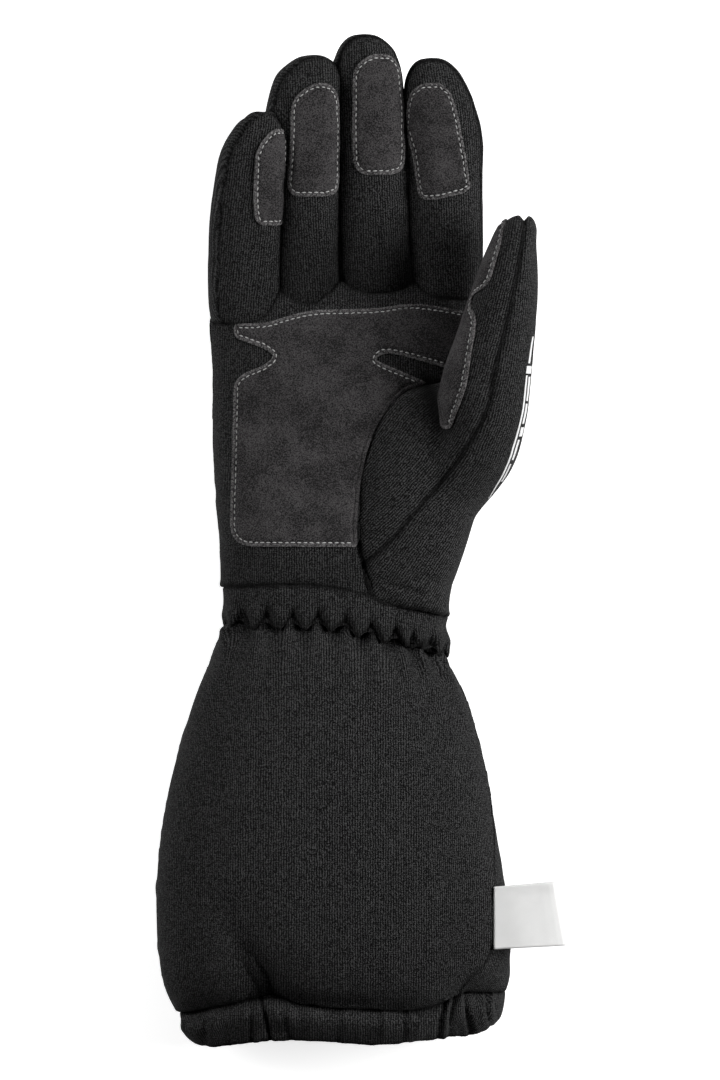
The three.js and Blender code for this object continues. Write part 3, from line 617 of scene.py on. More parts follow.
# Below the zigzag, in millimetres: the pleats' ridges and valleys, how far each reaches down the cuff, and
# the groove that the stitches press. The pleats spread out as the cuff widens.
RIDGE, RIDGE_START, RIDGE_REACH, RIDGE_FORM = 3.2, 1.3, 9, 1.4
VALLEY, VALLEY_REACH, GROOVE, GROOVE_WIDTH = 1.4, 7, 0.9, 1.1
SPREAD, SPREAD_END = 75, 60
UNEVEN, UNEVEN_SIZE = 0.3, 13
# How much painted shade darkens the zigzag and the pleats' valleys, and how wide it is.
ZIGZAG_SHADE, RIDGE_SHADE, ZIGZAG_WIDTH, VALLEY_SHADE, VALLEY_WIDTH = 0.5, 0.4, 1.2, 0.55, 4
# Start, end, width and depth of the valleys pressed into the cuff's front, and of its fold by the hem.
CUFF_VALLEYS = [
    ((-51, -140), (-40.5, -169), 6.5, 0.8),
    ((18, -58), (31, -50), 1.6, 0.6),
    ((22, -66), (36, -57), 2.2, 0.5),
]
FOLD, FOLD_DEPTH, FOLD_SHADE = ((-48.5, -144), (-33.5, -169), 4.0, 1), 2.2, 0.4
FOLD_START, FOLD_END, END_SHARE = (-140, -162), (-163, -170), 0.6

for name in CUFFS:
    places = points_of(panels[name].data)
    x, y, z = places.T / MM
    spread = 1 + np.clip(peak_height(x) - y, 0, SPREAD_END) / SPREAD
    below = np.clip(zigzag(x) - y, 0, None)
    ridge = 0.5 + 0.5 * np.cos(TURN * pleat_phase(WAIST + (x - WAIST) / spread))
    relief = RIDGE * ridge**RIDGE_FORM * (1 - bell(below / RIDGE_START)) * np.exp(-below / RIDGE_REACH)
    relief -= VALLEY * (1 - ridge) * np.exp(-below / VALLEY_REACH)
    relief *= 1 + UNEVEN * cloud(places, UNEVEN_SIZE * MM, 11)
    relief -= GROOVE * bell(below / GROOVE_WIDTH)
    # Painted shade along the zigzag and in the valleys between the ridges.
    paint_shade(panels[name], (ZIGZAG_SHADE + RIDGE_SHADE * ridge) * bell((y - zigzag(x)) / ZIGZAG_WIDTH))
    paint_shade(panels[name], VALLEY_SHADE * (1 - ridge) ** 3 * bell(below / VALLEY_WIDTH))
    if name == "cuff_front_panel":
        fold = valley(x, y, *FOLD) * smooth_step(y, *FOLD_START) * (1 - END_SHARE * smooth_step(y, *FOLD_END))
        relief += FOLD_DEPTH * fold + sum(valley(x, y, *row) for row in CUFF_VALLEYS)
        # Painted shade in the fold, darker where it is deeper.
        paint_shade(panels[name], FOLD_SHADE * fold**2)
    raise_points(panels[name], relief)

# The band above it: its teeth's bulge, the creases at the upper points, and the edge that is pressed down,
# with painted shade in the creases and along the lower edge.
TOOTH, TOOTH_HEIGHT, SWAY, SWAY_REACH = 0.3, 3, 0.5, 6
CREASE, CREASE_WIDTH, CREASE_REACH, CREASE_SHADE = 1.4, 0.17, 3.2, 0.5
EDGE, EDGE_WIDTH, BAND_UNEVEN, BAND_UNEVEN_SIZE, BAND_SHADE, BAND_SHADE_REACH = 0.9, 1.3, 0.4, 8, 0.36, 5
FACING = 0.6
band = panels["wrist_band"]
places = points_of(band.data)
x, y, z = places.T / MM
above = np.clip(y - zigzag(x), 0, None)
phase = pleat_phase(x)
crease = bell((phase - np.round(phase)) / CREASE_WIDTH) * bell(above / CREASE_REACH)
tooth = 0.5 - 0.5 * np.cos(TURN * phase)
relief = TOOTH * tooth * bell((above - TOOTH_HEIGHT) / TOOTH_HEIGHT) - CREASE * crease
relief += SWAY * (tooth - 0.5) * np.exp(-above / SWAY_REACH)
relief *= 1 + BAND_UNEVEN * cloud(places, BAND_UNEVEN_SIZE * MM, 12)
relief -= EDGE * bell(above / EDGE_WIDTH)
facing = smooth_step(normals_of(band.data)[:, 2], 0, FACING)
raise_points(band, relief * facing)
# Painted shade in the creases, and darker towards the zigzag.
paint_shade(band, CREASE_SHADE * crease * facing)
paint_shade(band, BAND_SHADE * bell(above / BAND_SHADE_REACH) * facing)
print("pleats:", len(PEAKS))

# %% Hem gathers
# Each crease: its top and bottom, x in millimetres, its width and its depth.
HEM_CREASES = [
    (-41.6, -40.4, 0.8, 0.5), (-37.1, -33.4, 0.7, 1.1), (-31, -25.5, 1.5, 0.8), (-58, -57, 1.2, 0.4),
    (-8, -8.5, 1.2, 0.3), (7, 6.5, 1.2, 0.3), (16, 16.5, 1.0, 0.35), (31.9, 28.9, 0.9, 0.9),
    (35, 33, 0.8, 0.9), (39, 40.5, 0.9, 1.1), (45.8, 46, 0.7, 1.1), (48.6, 46.6, 0.7, 0.8),
]
HEM_TOP, HEM_BOTTOM = -171.0, -188.0
# A crease's valley and the ridges beside it, as shares of its depth, and how many widths away they are.
DIP, RISE, RISE_PLACE = 0.6, 0.35, 2.2
FINE, FINE_SIZE, SIDE_SHARE = 0.45, np.array((3.2, 14, 9)), 0.2
hem = panels["hem_band"]
places = points_of(hem.data)
x, y, z = places.T / MM
share = (HEM_TOP - y) / (HEM_TOP - HEM_BOTTOM)
relief = FINE * cloud(places, FINE_SIZE * MM, 13)
for top, bottom, width, depth in HEM_CREASES:
    off = (x - top - (bottom - top) * share) / width
    relief -= 2 * DIP * depth * bell(off)
    for side in (-1, 1):
        relief += RISE * depth * bell((off - side * RISE_PLACE) / math.sqrt(2))
raise_points(hem, relief * (SIDE_SHARE + (1 - SIDE_SHARE) * np.abs(normals_of(hem.data)[:, 2])))
# The hem's seam as seen from the front. The cuff turns down to it, and the band rolls up and under again.
HEM_SEAM = np.array([
    (-67, -177), (-57, -174.7), (-38, -171.2), (-31, -170.5), (-22.5, -173.4), (21.5, -175.4), (32, -172.4),
    (38, -168.8), (54, -169.2),
])
SEAM_SINK, SEAM_WIDTH = 2.4, 3.2
ROLL_UNDER, UNDER_START, UNDER_END = 1.2, 9, 15
ROLL_UP, ROLL_PLACE, ROLL_WIDTH = 2.2, 6.5, 4
for name in (*CUFFS, "hem_band"):
    points = points_of(panels[name].data)
    x, y, z = points.T / MM
    off = y - np.interp(x, HEM_SEAM[:, 0], HEM_SEAM[:, 1])
    sink = SEAM_SINK * bell(off / SEAM_WIDTH)
    if name == "hem_band":
        sink += ROLL_UNDER * smooth_step(-off, UNDER_START, UNDER_END)
        sink -= ROLL_UP * bell((off + ROLL_PLACE) / ROLL_WIDTH)
    points[:, 2] -= sink * MM * np.clip(normals_of(panels[name].data)[:, 2], 0, 1)
    move_points(panels[name].data, points)
print("hem creases:", len(HEM_CREASES))

# %% [markdown]
# ## Fitting the outline
#
# Soft cloth bulges a little more at some places than the solids do: at the hem's corners, beside the wrist
# and where two fingers press together. Each panel's points are moved by a millimetre or two there, with soft
# ends, so that the outline agrees with the photograph. Where light doesn't reach into a fold, shade is
# painted.

# %% Fuller corners


def window(place, rule):
    """How much a bulge acts: a rise between two values of x or y, a bell at one, or a function's value."""
    if callable(rule):
        return rule(place)
    axis, first, second, *kind = rule
    value = place["xy".index(axis)]
    return bell((value - first) / second) if kind else smooth_step(value, first, second)


def bulge(names, *steps):
    """Moves panels' points. Each step is millimetres in x and in y, and the windows that it acts in."""
    for name in names:
        points = points_of(panels[name].data)
        place = points.T / MM
        for across, up, *rules in steps:
            share = MM * np.prod([window(place, rule) for rule in rules], axis=0)
            points[:, 0] += across * share
            points[:, 1] += up * share
        move_points(panels[name].data, points)


# The tips of the wrist band's teeth: their share of a pleat, and their height in millimetres.
POINT_WIDTH, POINT_HEIGHT = 0.16, 1.8


def tooth_point(place):
    """How near a point is to the tip of one of the wrist band's teeth."""
    x, y, z = place
    return bell((pleat_phase(x) % 1 - 0.5) / POINT_WIDTH) * bell((y - zigzag(x)) / POINT_HEIGHT)


LITTLE, RING, MIDDLE, INDEX = FINGER_PANELS.values()
# The hem's corners and the cuff's sides.
bulge(
    ["hem_band"],
    (2.4, 0, ("x", 32, 48), ("y", -165, -180)),
    (1.5, 0, ("x", 40, 50)),
    (-1.6, -1.4, ("x", -50, -60), ("y", -174, -184)),
    (0, -3.7, ("x", 34, 46), ("y", -169, -180)),
)
bulge(
    CUFFS,
    (1.6, 0, ("x", 15, 35), ("y", -54, 16, "bell")),
    (2.0, 0, ("x", 40, 52), ("y", -156, -168)),
    (-1.8, 0, ("x", -40, -50), ("y", -38, 5, "bell")),
    (-2.6, 0, ("x", -38, -46), ("y", -33, 3, "bell")),
)
# The wrist band's ends draw in, its teeth are pointed, and its seam closes where three panels meet.
bulge(
    ["wrist_band"],
    (2.2, 0, ("x", -48, -54), ("y", -27, -33)),
    (-1.2, 0, ("x", 28, 33), ("y", -27, -33)),
    (0, 0.6, ("x", 4.4, 4, "bell"), ("y", -25, -21)),
    (0, -1.1, tooth_point),
)
# The wrist on the thumb's side, and the outer sides of three fingers.
bulge(["wrist_band"], (1.4, 0, ("x", 24, 31), ("y", -38, 3.5, "bell")))
bulge(CUFFS, (1.5, 0, ("x", 24, 31), ("y", -38, 4, "bell")))
bulge(LITTLE, (-0.9, 0, ("x", -44, -50), ("y", 146, 9, "bell")))
bulge(RING, (-0.9, 0, ("x", -25, -31), ("y", 176, 7, "bell")))
bulge(INDEX, (0.7, 0, ("x", 38, 44), ("y", 150, 12, "bell")))
# The lower seam of the ball of the thumb, and the wrist seam where it ends.
bulge(
    ("palm_panel", *THUMBS),
    (-4.4, 0, ("y", 14, -10), ("x", 4, 8, "bell")),
    (0, -0.7, ("x", 4.4, 4, "bell"), ("y", -20.5, 2.5, "bell")),
)
# The middle and index fingers press together.
TOUCH, TOUCH_WINDOWS = 0.9, [("x", 18.4, 2.5, "bell"), ("y", 92, 98), ("y", 154, 146)]
for name in MIDDLE + INDEX:
    place = points_of(panels[name].data).T / MM
    raise_points(panels[name], TOUCH * np.prod([window(place, rule) for rule in TOUCH_WINDOWS], axis=0))
# The little finger's tip is rounder on its outer side, and the seam notches the thumb's tip.
bulge(LITTLE, (0, -1.0, ("x", -42.6, 2.4, "bell"), ("y", 154, 159.5)))
bulge(THUMBS, (0, -2.2, ("x", 61.3, 1.2, "bell"), ("y", 114, 122)))
print("outline fitted at the thumb, wrist, cuff, hem and fingers:", *FINGER_PANELS)

# %% Painted shade in folds
# Light doesn't reach into the fold between the thumb and the palm, so shade is painted into the knit there.
HOLLOW = (25, 59), (31, 43), 4.2, 1.0
for name in ("thumb_front_panel", "palm_panel"):
    x, y, z = points_of(panels[name].data).T / MM
    paint_shade(panels[name], -valley(x, y, *HOLLOW))
# Nor far down between the fingers' roots, nor to the strip where the palm falls away to the wrist, so shade is
# painted there too.
ROOT_SHADE = {"little": 0.12, "ring": 0.36, "middle": 0.4, "index": 0.2}
ROOT_END, ROOT_START = 134, 94
STRIP_SHADE, STRIP_END, FRONT = 0.24, 10, 15
for finger, share in ROOT_SHADE.items():
    x, y, z = points_of(panels[finger + "_finger_front"].data).T / MM
    paint_shade(panels[finger + "_finger_front"], share * smooth_step(y, ROOT_END, ROOT_START))
x, y, z = points_of(panels["palm_panel"].data).T / MM
paint_shade(panels["palm_panel"], STRIP_SHADE * smooth_step(-y, 0, STRIP_END) * (z > FRONT))


def press(name, valleys, shade):
    """Presses valleys into a panel's front, and paints shade into them in proportion to shade."""
    x, y, z = points_of(panels[name].data).T / MM
    relief = sum(valley(x, y, *row) for row in valleys) * (z > FRONT)
    raise_points(panels[name], relief)
    paint_shade(panels[name], -shade * relief)


# The seam from the palm patch's corner down to the wrist, pressed and given painted shade, and two folds
# beside it, only pressed.
LOW_SEAM = [((-0.6, -1.5), (3.2, -16.5), 1.1, 0.9), ((3.2, -16.5), (3.3, -21.5), 1.1, 0.9)]
WRIST_FOLDS = [((11, -17), (22, -19.5), 1.1, 1.0), ((20, -14), (33, -16), 1.6, 0.6)]
for name in ("palm_panel", *THUMBS):
    for row in LOW_SEAM:
        press(name, [row], 1)
press("thumb_back_panel", WRIST_FOLDS, 0)
print("pressed folds:", len(LOW_SEAM) + len(WRIST_FOLDS))

# %% [markdown]
# ## Ribs along each panel
#
# A panel is cut from flat cloth, so its ribs run side by side at one pitch. For each panel a guide line is
# laid on its surface, and a point's u is its distance from that line and its v the way along it. On the
# thumb the guide bends, and the ribs bend with it.

# %% Rib guides
# Points of each guide, x and y in millimetres, as seen from the front.
GUIDES = {
    "little": [(-47, 76), (-43.5, 110), (-37, 165)],
    "ring": [(-17, 82), (-19.5, 120), (-22, 186)],
    "middle": [(6, 90), (4.5, 130), (2, 194)],
    "index": [(33.5, 86), (32.3, 128), (30, 160), (26, 186)],
    "ball": [(-3, -4), (7, 6), (17, 15), (27, 26), (35, 37.5), (40.5, 48), (44.5, 60), (49.5, 78), (55, 100),
             (59, 123)],
    "thumb": [(3, -28), (11.3, -17.5), (29.4, 7.1), (40.3, 19.2), (47, 28.5), (53, 43), (57.5, 62),
              (60.5, 82), (62.5, 100), (64, 123)],
}
PANEL_GUIDES = {"thumb_front_panel": "ball", "thumb_back_panel": "thumb"}
# Panels that wrap round a flat tube, and the parts of the glove that they make up.
TUBES = {
    "hand": ("palm_panel", "back_panel"),
    "wrist": ("wrist_band",),
    "cuff": CUFFS,
    "hem": ("hem_band",),
}
ROW_STEP, GUIDE_STEP, FAN, FAN_REACH = 6 * MM, 2.5 * MM, 1.1, 12
# Where rays at the glove start, and a height just off it, in metres.
RAY_HEIGHT, NEAR_HEIGHT = 0.2, 0.04


def guide_line(piece, guide, side):
    """A guide as points every few millimetres on a panel's front (side 1) or back (side -1)."""
    surface = surface_of(piece)
    corners = np.array(guide, float) * MM
    steps = ways_along(corners)
    ways = np.linspace(0, steps[-1], max(2, int(steps[-1] / GUIDE_STEP)))
    line = []
    for x, y in zip(np.interp(ways, steps, corners[:, 0]), np.interp(ways, steps, corners[:, 1])):
        hit = surface.ray_cast(Vector((x, y, side * RAY_HEIGHT)), Vector((0, 0, -side)))[0]
        hit = hit or surface.find_nearest(Vector((x, y, side * NEAR_HEIGHT)))[0]
        line.append((x, y, hit.z))
    return np.array(line)


def along_and_across(points, line):
    """Each point's signed distance from a line of points, and how far along the line it is."""
    best = np.full(len(points), np.inf)
    across, along = np.zeros(len(points)), np.zeros(len(points))
    way = 0.0
    for a, b in zip(line[:-1], line[1:]):
        step = b - a
        off, share = off_line(points, a, b)
        length, distance = np.linalg.norm(step), np.linalg.norm(off, axis=1)
        near = distance < best
        best[near] = distance[near]
        side = np.sign(step[1] * off[:, 0] - step[0] * off[:, 1])
        across[near] = (side * distance)[near]
        along[near] = way + share[near] * length
        way += length
    return across, along


def round_tube(points, all_points, side):
    """Each point's way round a flat tube with round ends, and along it. side is 1 for the front, or -1."""
    rows = np.arange(all_points[:, 1].min(), all_points[:, 1].max(), ROW_STEP)
    boxes = []
    for row in rows:
        near = all_points[np.abs(all_points[:, 1] - row) < ROW_STEP]
        low, high = near.min(axis=0), near.max(axis=0)
        middle, half = (low + high) / 2, (high - low) / 2
        boxes.append((middle[0], middle[2], half[0], half[2]))
    middle_x, middle_z, wide, high = (np.interp(points[:, 1], rows, column) for column in np.array(boxes).T)
    x, z = points[:, 0] - middle_x, side * (points[:, 2] - middle_z)
    flat = wide - high
    past = np.abs(x) - flat
    turn = np.arctan2(np.maximum(past, 0), z)
    over = np.where(z > 0, np.abs(x), 2 * flat + math.pi * high - np.abs(x))
    way = np.where(past > 0, flat + high * turn, over)
    return middle_x + np.sign(x) * way, points[:, 1]


def rib_map(piece, across, along, fan=0.0):
    """Gives a panel the UV map that its ribs follow. fan draws the ribs together below the pleats."""
    mesh = piece.data
    x, y, z = points_of(mesh).T / MM
    fade = np.exp(-np.clip(peak_height(x) - y, 0, None) / FAN_REACH)
    across = across + fan * MM * fade * np.sin(TURN * pleat_phase(x))
    corners = np.empty(len(mesh.loops), dtype=int)
    mesh.loops.foreach_get("vertex_index", corners)
    layer = mesh.uv_layers.new(name="ribs")
    layer.data.foreach_set("uv", np.column_stack([across, along])[corners].ravel())


mapped = []
for names in TUBES.values():
    all_points = np.vstack([points_of(panels[name].data) for name in names])
    for name in names:
        side = -1 if "back" in name else 1
        across, along = round_tube(points_of(panels[name].data), all_points, side)
        rib_map(panels[name], across, along, FAN if "cuff" in name else 0.0)
        mapped.append(name)
for name, piece in panels.items():
    if name not in mapped:
        guide = GUIDES[PANEL_GUIDES.get(name) or name.split("_")[0]]
        line = guide_line(piece, guide, -1 if name.endswith("_back") else 1)
        rib_map(piece, *along_and_across(points_of(piece.data), line))
        mapped.append(name)
print("rib maps:", len(mapped))

# %% Every panel replaces its solid
for name, piece in panels.items():
    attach(piece, "root")
    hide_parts(name)

# %% [markdown]
# ## Suede patches
#
# A patch is cut from flat suede and lies on the knit. Its outline is drawn in a flat map: from the front
# for the palm, and unrolled round the finger for the others. The map is filled with fine triangles, each
# point is cast onto the knit, and the row of stitches presses a groove. A second layer below it and a wall
# round the edge give the leather its thickness. The knit is finished first, so that the suede follows it.

# %% Flat outlines
SEW_IN, OUTLINE_STEP = 1.5, 0.7
# A rounded corner's points, the least radius that is rounded, and the most of a side that a corner takes.
CORNER_STEPS, LEAST_RADIUS, SIDE_MOST = 7, 0.5, 0.48
KEEP_SHARE = 0.97


def rounded_outline(corners):
    """A closed outline from (x, y, how far the corner is rounded, sewn): points with a sewn flag."""
    path = []
    count = len(corners)
    for i, (x, y, radius, sewn) in enumerate(corners):
        here = np.array((x, y), float)
        before = np.array(corners[i - 1][:2], float) - here
        after = np.array(corners[(i + 1) % count][:2], float) - here
        cut = [min(radius, SIDE_MOST * np.linalg.norm(v)) for v in (before, after)]
        start = here + before / np.linalg.norm(before) * cut[0]
        end = here + after / np.linalg.norm(after) * cut[1]
        steps = CORNER_STEPS if radius > LEAST_RADIUS else 1
        for k in range(steps):
            t = k / max(1, steps - 1)
            point = (1 - t) ** 2 * start + 2 * t * (1 - t) * here + t * t * end
            path.append((*(point if steps > 1 else here), sewn))
    return path


def even_outline(path, step=OUTLINE_STEP):
    """The same outline with points at an even pitch."""
    xy = np.array([p[:2] for p in path], float)
    sewn = np.array([p[2] for p in path], float)
    xy, sewn = np.vstack([xy, xy[:1]]), np.append(sewn, sewn[0])
    ways = ways_along(xy)
    places = np.linspace(0, ways[-1], int(ways[-1] / step), endpoint=False)
    index = np.clip(np.searchsorted(ways, places, side="right") - 1, 0, len(xy) - 2)
    flags = sewn[index] > 0.5
    return np.column_stack([np.interp(places, ways, xy[:, k]) for k in (0, 1)]), flags


def outline_distance(points, loop):
    """How far each flat point is from a closed outline."""
    best = np.full(len(points), np.inf)
    for a, b in zip(loop, np.roll(loop, -1, axis=0)):
        best = np.minimum(best, np.linalg.norm(off_line(points, a, b)[0], axis=1))
    return best


def inside(points, loop):
    """Whether each flat point is inside a closed outline."""
    result = np.zeros(len(points), bool)
    for a, b in zip(loop, np.roll(loop, -1, axis=0)):
        crosses = (a[1] > points[:, 1]) != (b[1] > points[:, 1])
        rise = b[1] - a[1] if b[1] != a[1] else 1e-9
        result ^= crosses & (points[:, 0] < a[0] + (b[0] - a[0]) * (points[:, 1] - a[1]) / rise)
    return result


def inset_loop(loop, distance):
    """Points moved inwards from an outline, and which of them keep that distance from all of it."""
    way = np.roll(loop, -1, axis=0) - np.roll(loop, 1, axis=0)
    inward = np.column_stack([-way[:, 1], way[:, 0]]) / np.linalg.norm(way, axis=1)[:, None]
    x, y = loop.T
    area = np.sum(x * np.roll(y, -1) - np.roll(x, -1) * y)
    moved = loop + inward * distance * np.sign(area)
    return moved, (outline_distance(moved, loop) > KEEP_SHARE * distance) & inside(moved, loop)


# %% A patch laid on the knit
# Distance from the cut edge and height over the knit, in millimetres: the groove is where the thread runs.
PATCH_SECTION = [(0, 0.75), (0.5, 1.0), (1.05, 0.95), (SEW_IN, 0.62), (1.95, 0.95), (2.8, 1.15), (9, 1.2)]
# The leather's thickness and its waves' height, size and seed. The pitch of the grid that fills an outline,
# the distance between its rows as a share of that, and how far it stays from the edge.
THICK, WAVE, WAVE_SIZE, WAVE_SEED = 1.25, 0.12, 7, 21
GRID, ROW_SHARE, GRID_INSET = 1.05, 0.87, 3.3
GROUND_ROUNDS, UP_ROUNDS, TOUCHING, ON_RIM = 4, 6, 1e-5, 0.01
# Where the pale cut edge shows: full up to the first distance from the outline, gone at the second.
PALE_EDGE = 0.45, 1.5


def edges_of(mesh):
    """A mesh's edges as rows of two point numbers."""
    return np.array([tuple(e.vertices) for e in mesh.edges])


def add_neighbours(total, values, pairs):
    """Adds to each point's total the values of the points that it shares an edge with."""
    for here, there in ((0, 1), (1, 0)):
        np.add.at(total, pairs[:, here], values[pairs[:, there]])
    return total


def lay_patch(name, path, cast):
    """A suede patch from a flat outline and a function that casts a flat point onto the knit."""
    loop, sewn = even_outline(path)
    points, seam = [loop], []
    for distance, _ in PATCH_SECTION[1:-1]:
        moved, kept = inset_loop(loop, distance)
        if distance == SEW_IN:
            first = sum(len(p) for p in points)
            seam = [(first + i, bool(sewn[k]), int(k)) for i, k in enumerate(np.flatnonzero(kept))]
        points.append(moved[kept])
    low, high = loop.min(axis=0), loop.max(axis=0)
    xs, ys = np.arange(low[0], high[0], GRID), np.arange(low[1], high[1], GRID * ROW_SHARE)
    grid = np.array([(x + (j % 2) * GRID / 2, y) for j, y in enumerate(ys) for x in xs])
    grid = grid[inside(grid, loop)]
    points.append(grid[outline_distance(grid, loop) > GRID_INSET])
    flat = np.vstack(points)
    edges = [(i, (i + 1) % len(loop)) for i in range(len(loop))]
    verts, _, faces, origins, _, _ = delaunay_2d_cdt(
        [Vector(p) for p in flat], edges, [list(range(len(loop)))], 1, TOUCHING, True
    )
    place = {source: new for new, sources in enumerate(origins) for source in sources}
    flat = np.array([tuple(v) for v in verts])
    depth = outline_distance(flat, loop)
    ground, hit = cast(flat)
    if not hit.all():
        finder = KDTree(int(hit.sum()))
        for i in np.flatnonzero(hit):
            finder.insert((*flat[i], 0), int(i))
        finder.balance()
        for i in np.flatnonzero(~hit):
            nearest = finder.find((*flat[i], 0))[1]
            ground[i, 2] = ground[nearest, 2]
    middles = np.array([flat[list(face)].mean(axis=0) for face in faces])
    faces = [face for face, kept in zip(faces, inside(middles, loop)) if kept]
    piece = add_mesh(name, ground, faces)
    sides = edges_of(piece.data)
    rim = depth < ON_RIM
    pairs = sides[rim[sides[:, 0]] == rim[sides[:, 1]]]
    degree = np.maximum(1, np.bincount(pairs.ravel(), minlength=len(ground)))[:, None]
    for _ in range(GROUND_ROUNDS):
        ground = 0.5 * ground + 0.5 * add_neighbours(np.zeros_like(ground), ground, pairs) / degree
    move_points(piece.data, ground)
    up = normals_of(piece.data)
    if np.sum(up * (ground - ground.mean(axis=0) + np.array([0, 0, 1]) * MM * 5)) < 0:
        piece.data.flip_normals()
        up = -up
    for _ in range(UP_ROUNDS):
        total = add_neighbours(up.copy(), up, sides)
        up = total / np.linalg.norm(total, axis=1)[:, None]
    height = np.interp(depth, *np.array(PATCH_SECTION).T) + WAVE * cloud(ground, WAVE_SIZE * MM, WAVE_SEED)
    top = ground + up * (height * MM)[:, None]
    move_points(piece.data, top)
    sewn_edge = np.full(len(flat), np.inf)
    for a, b, is_sewn in zip(loop, np.roll(loop, -1, axis=0), sewn):
        if is_sewn:
            sewn_edge = np.minimum(sewn_edge, np.linalg.norm(flat - (a + b) / 2, axis=1))
    thread_path = [(top[place[i]], up[place[i]], is_sewn, k) for i, is_sewn, k in seam]
    faces = faces_of(piece.data)
    ways = dict.fromkeys(way for face in faces for way in zip(face, face[1:] + face[:1]))
    open_sides = [way for way in ways if way[::-1] not in ways]
    under = [tuple(i + len(top) for i in reversed(face)) for face in faces]
    wall = [(b, a, a + len(top), b + len(top)) for a, b in open_sides]
    edge_values = np.tile(1 - smooth_step(sewn_edge, *PALE_EDGE), 2)
    bpy.data.objects.remove(piece)
    piece = add_mesh(name, np.vstack([top, top - up * THICK * MM]), faces + under + wall, suede)
    cut = piece.data.attributes.new("edge", "FLOAT", "POINT")
    cut.data.foreach_set("value", edge_values)
    return piece, thread_path


# %% [markdown]
# ## Stitches
#
# A stitch is a short pale bar of twisted thread that dips into the suede at both ends. One is made from a
# sphere that is stretched and bent, and its copies follow the groove at an even pitch.

# %% One stitch
# The pitch, and a stitch's length, width and height with the share of it by which the ends dip.
PITCH, STITCH, DIP_SHARE = 2.35, (1.65, 0.5, 0.42), 0.35
# Half the piece of groove that gives a stitch its direction, its lean, its lengths, and how high it lies.
HALF, STITCH_LEAN, LENGTHS, LIFT = 0.6, 0.08, (0.85, 1.1), 0.12
# How many outline points may be missing in one run of stitches, and the fewest that a run has.
GAP, SHORTEST = 8, 4
bpy.ops.mesh.primitive_uv_sphere_add(segments=8, ring_count=6, radius=0.5)
one_stitch = bpy.context.active_object
one_stitch.name = "one_stitch"
alone(one_stitch)
bpy.ops.object.mode_set(mode="EDIT")
bpy.ops.mesh.select_all(action="SELECT")
bpy.ops.transform.rotate(value=math.pi / 2, orient_axis="Y", center_override=(0, 0, 0))
bpy.ops.transform.resize(value=STITCH)
bpy.ops.object.mode_set(mode="OBJECT")
stitch_points = points_of(one_stitch.data)
stitch_points[:, 2] -= DIP_SHARE * (2 * stitch_points[:, 0] / STITCH[0]) ** 2 * STITCH[2]
# A new sphere's points and faces can come in another order at each run, so they are put in a fixed one.
order = np.lexsort(np.round(stitch_points, 4).T)
rank = np.argsort(order).tolist()
stitch_points = stitch_points[order]
stitch_faces = [tuple(rank[i] for i in face) for face in faces_of(one_stitch.data)]
stitch_faces = sorted(face[face.index(min(face)):] + face[:face.index(min(face))] for face in stitch_faces)
bpy.data.objects.remove(one_stitch)
print("one stitch:", len(stitch_faces), "faces")


def sewn_runs(thread_path):
    """The groove's sewn parts, each as rows of place and direction."""
    runs, run, last = [], [], None
    for spot, up, is_sewn, k in thread_path + thread_path[:1]:
        gap = last is not None and (k - last) % (thread_path[-1][3] + 1) > GAP
        if not is_sewn or gap:
            runs.append(run)
            run = []
        if is_sewn:
            run.append((spot, up))
        last = k
    runs.append(run)
    return [run for run in runs if len(run) > SHORTEST]


def sew(name, thread_path, seed):
    """The row of stitches of one patch, as one mesh."""
    random = np.random.default_rng(seed)
    parts = []
    for run in sewn_runs(thread_path):
        places = np.array([p for p, _ in run]) / MM
        ups = np.array([n for _, n in run])
        ways = ways_along(places)
        for way in np.arange(PITCH / 2, ways[-1] - PITCH / 3, PITCH):
            here = [np.interp(way + off, ways, places[:, k]) for off in (-HALF, HALF) for k in range(3)]
            a, b = np.array(here[:3]), np.array(here[3:])
            up = np.array([np.interp(way, ways, ups[:, k]) for k in range(3)])
            forward = (b - a) / np.linalg.norm(b - a)
            side = np.cross(up, forward)
            side /= np.linalg.norm(side)
            forward = forward + side * random.normal(0, STITCH_LEAN)
            up = np.cross(forward, side)
            body = stitch_points * (random.uniform(*LENGTHS), 1, 1)
            centre = (a + b) / 2 + up * LIFT
            spots = centre + body[:, :1] * forward + body[:, 1:2] * side + body[:, 2:] * up
            parts.append((spots * MM, stitch_faces))
    stitches = add_mesh(name, *join(parts), thread)
    alone(stitches)
    bpy.ops.object.shade_smooth()
    return stitches


# %% Palm patch
# Corners in millimetres, how far each is rounded, and whether the edge after it is sewn.
PALM_PATCH = [
    (-47.2, 81.2, 1.5, 1), (-36.5, 80.8, 5, 1), (-20, 86, 7, 1), (6, 86.6, 4, 1), (20, 88.8, 6, 1),
    (43.6, 85.1, 0, 0), (43.6, 61.5, 0, 1), (28.2, 65.6, 3, 1), (16, 69, 4, 1), (9, 70.2, 2.5, 1),
    (5.2, 67.5, 1.2, 1), (11, 64.9, 2, 1), (25.3, 59, 0, 0), (17, 56, 2, 0), (10.8, 50.3, 2, 0),
    (5.7, 42.3, 2, 0), (2.2, 32.2, 2, 0), (-0.2, 20.3, 2, 0), (-1.2, 6, 2, 0), (-1.2, -2.7, 0, 1),
    (-48.4, -2.5, 9, 1), (-47, 60.8, 5, 1), (-36.5, 65.2, 2, 1), (-31.2, 68.8, 3, 1), (-36.5, 72, 2, 1),
    (-47.2, 75.8, 2.5, 1),
]
palm_surface, PALM_LOW = surface_of(panels["palm_panel"]), 20


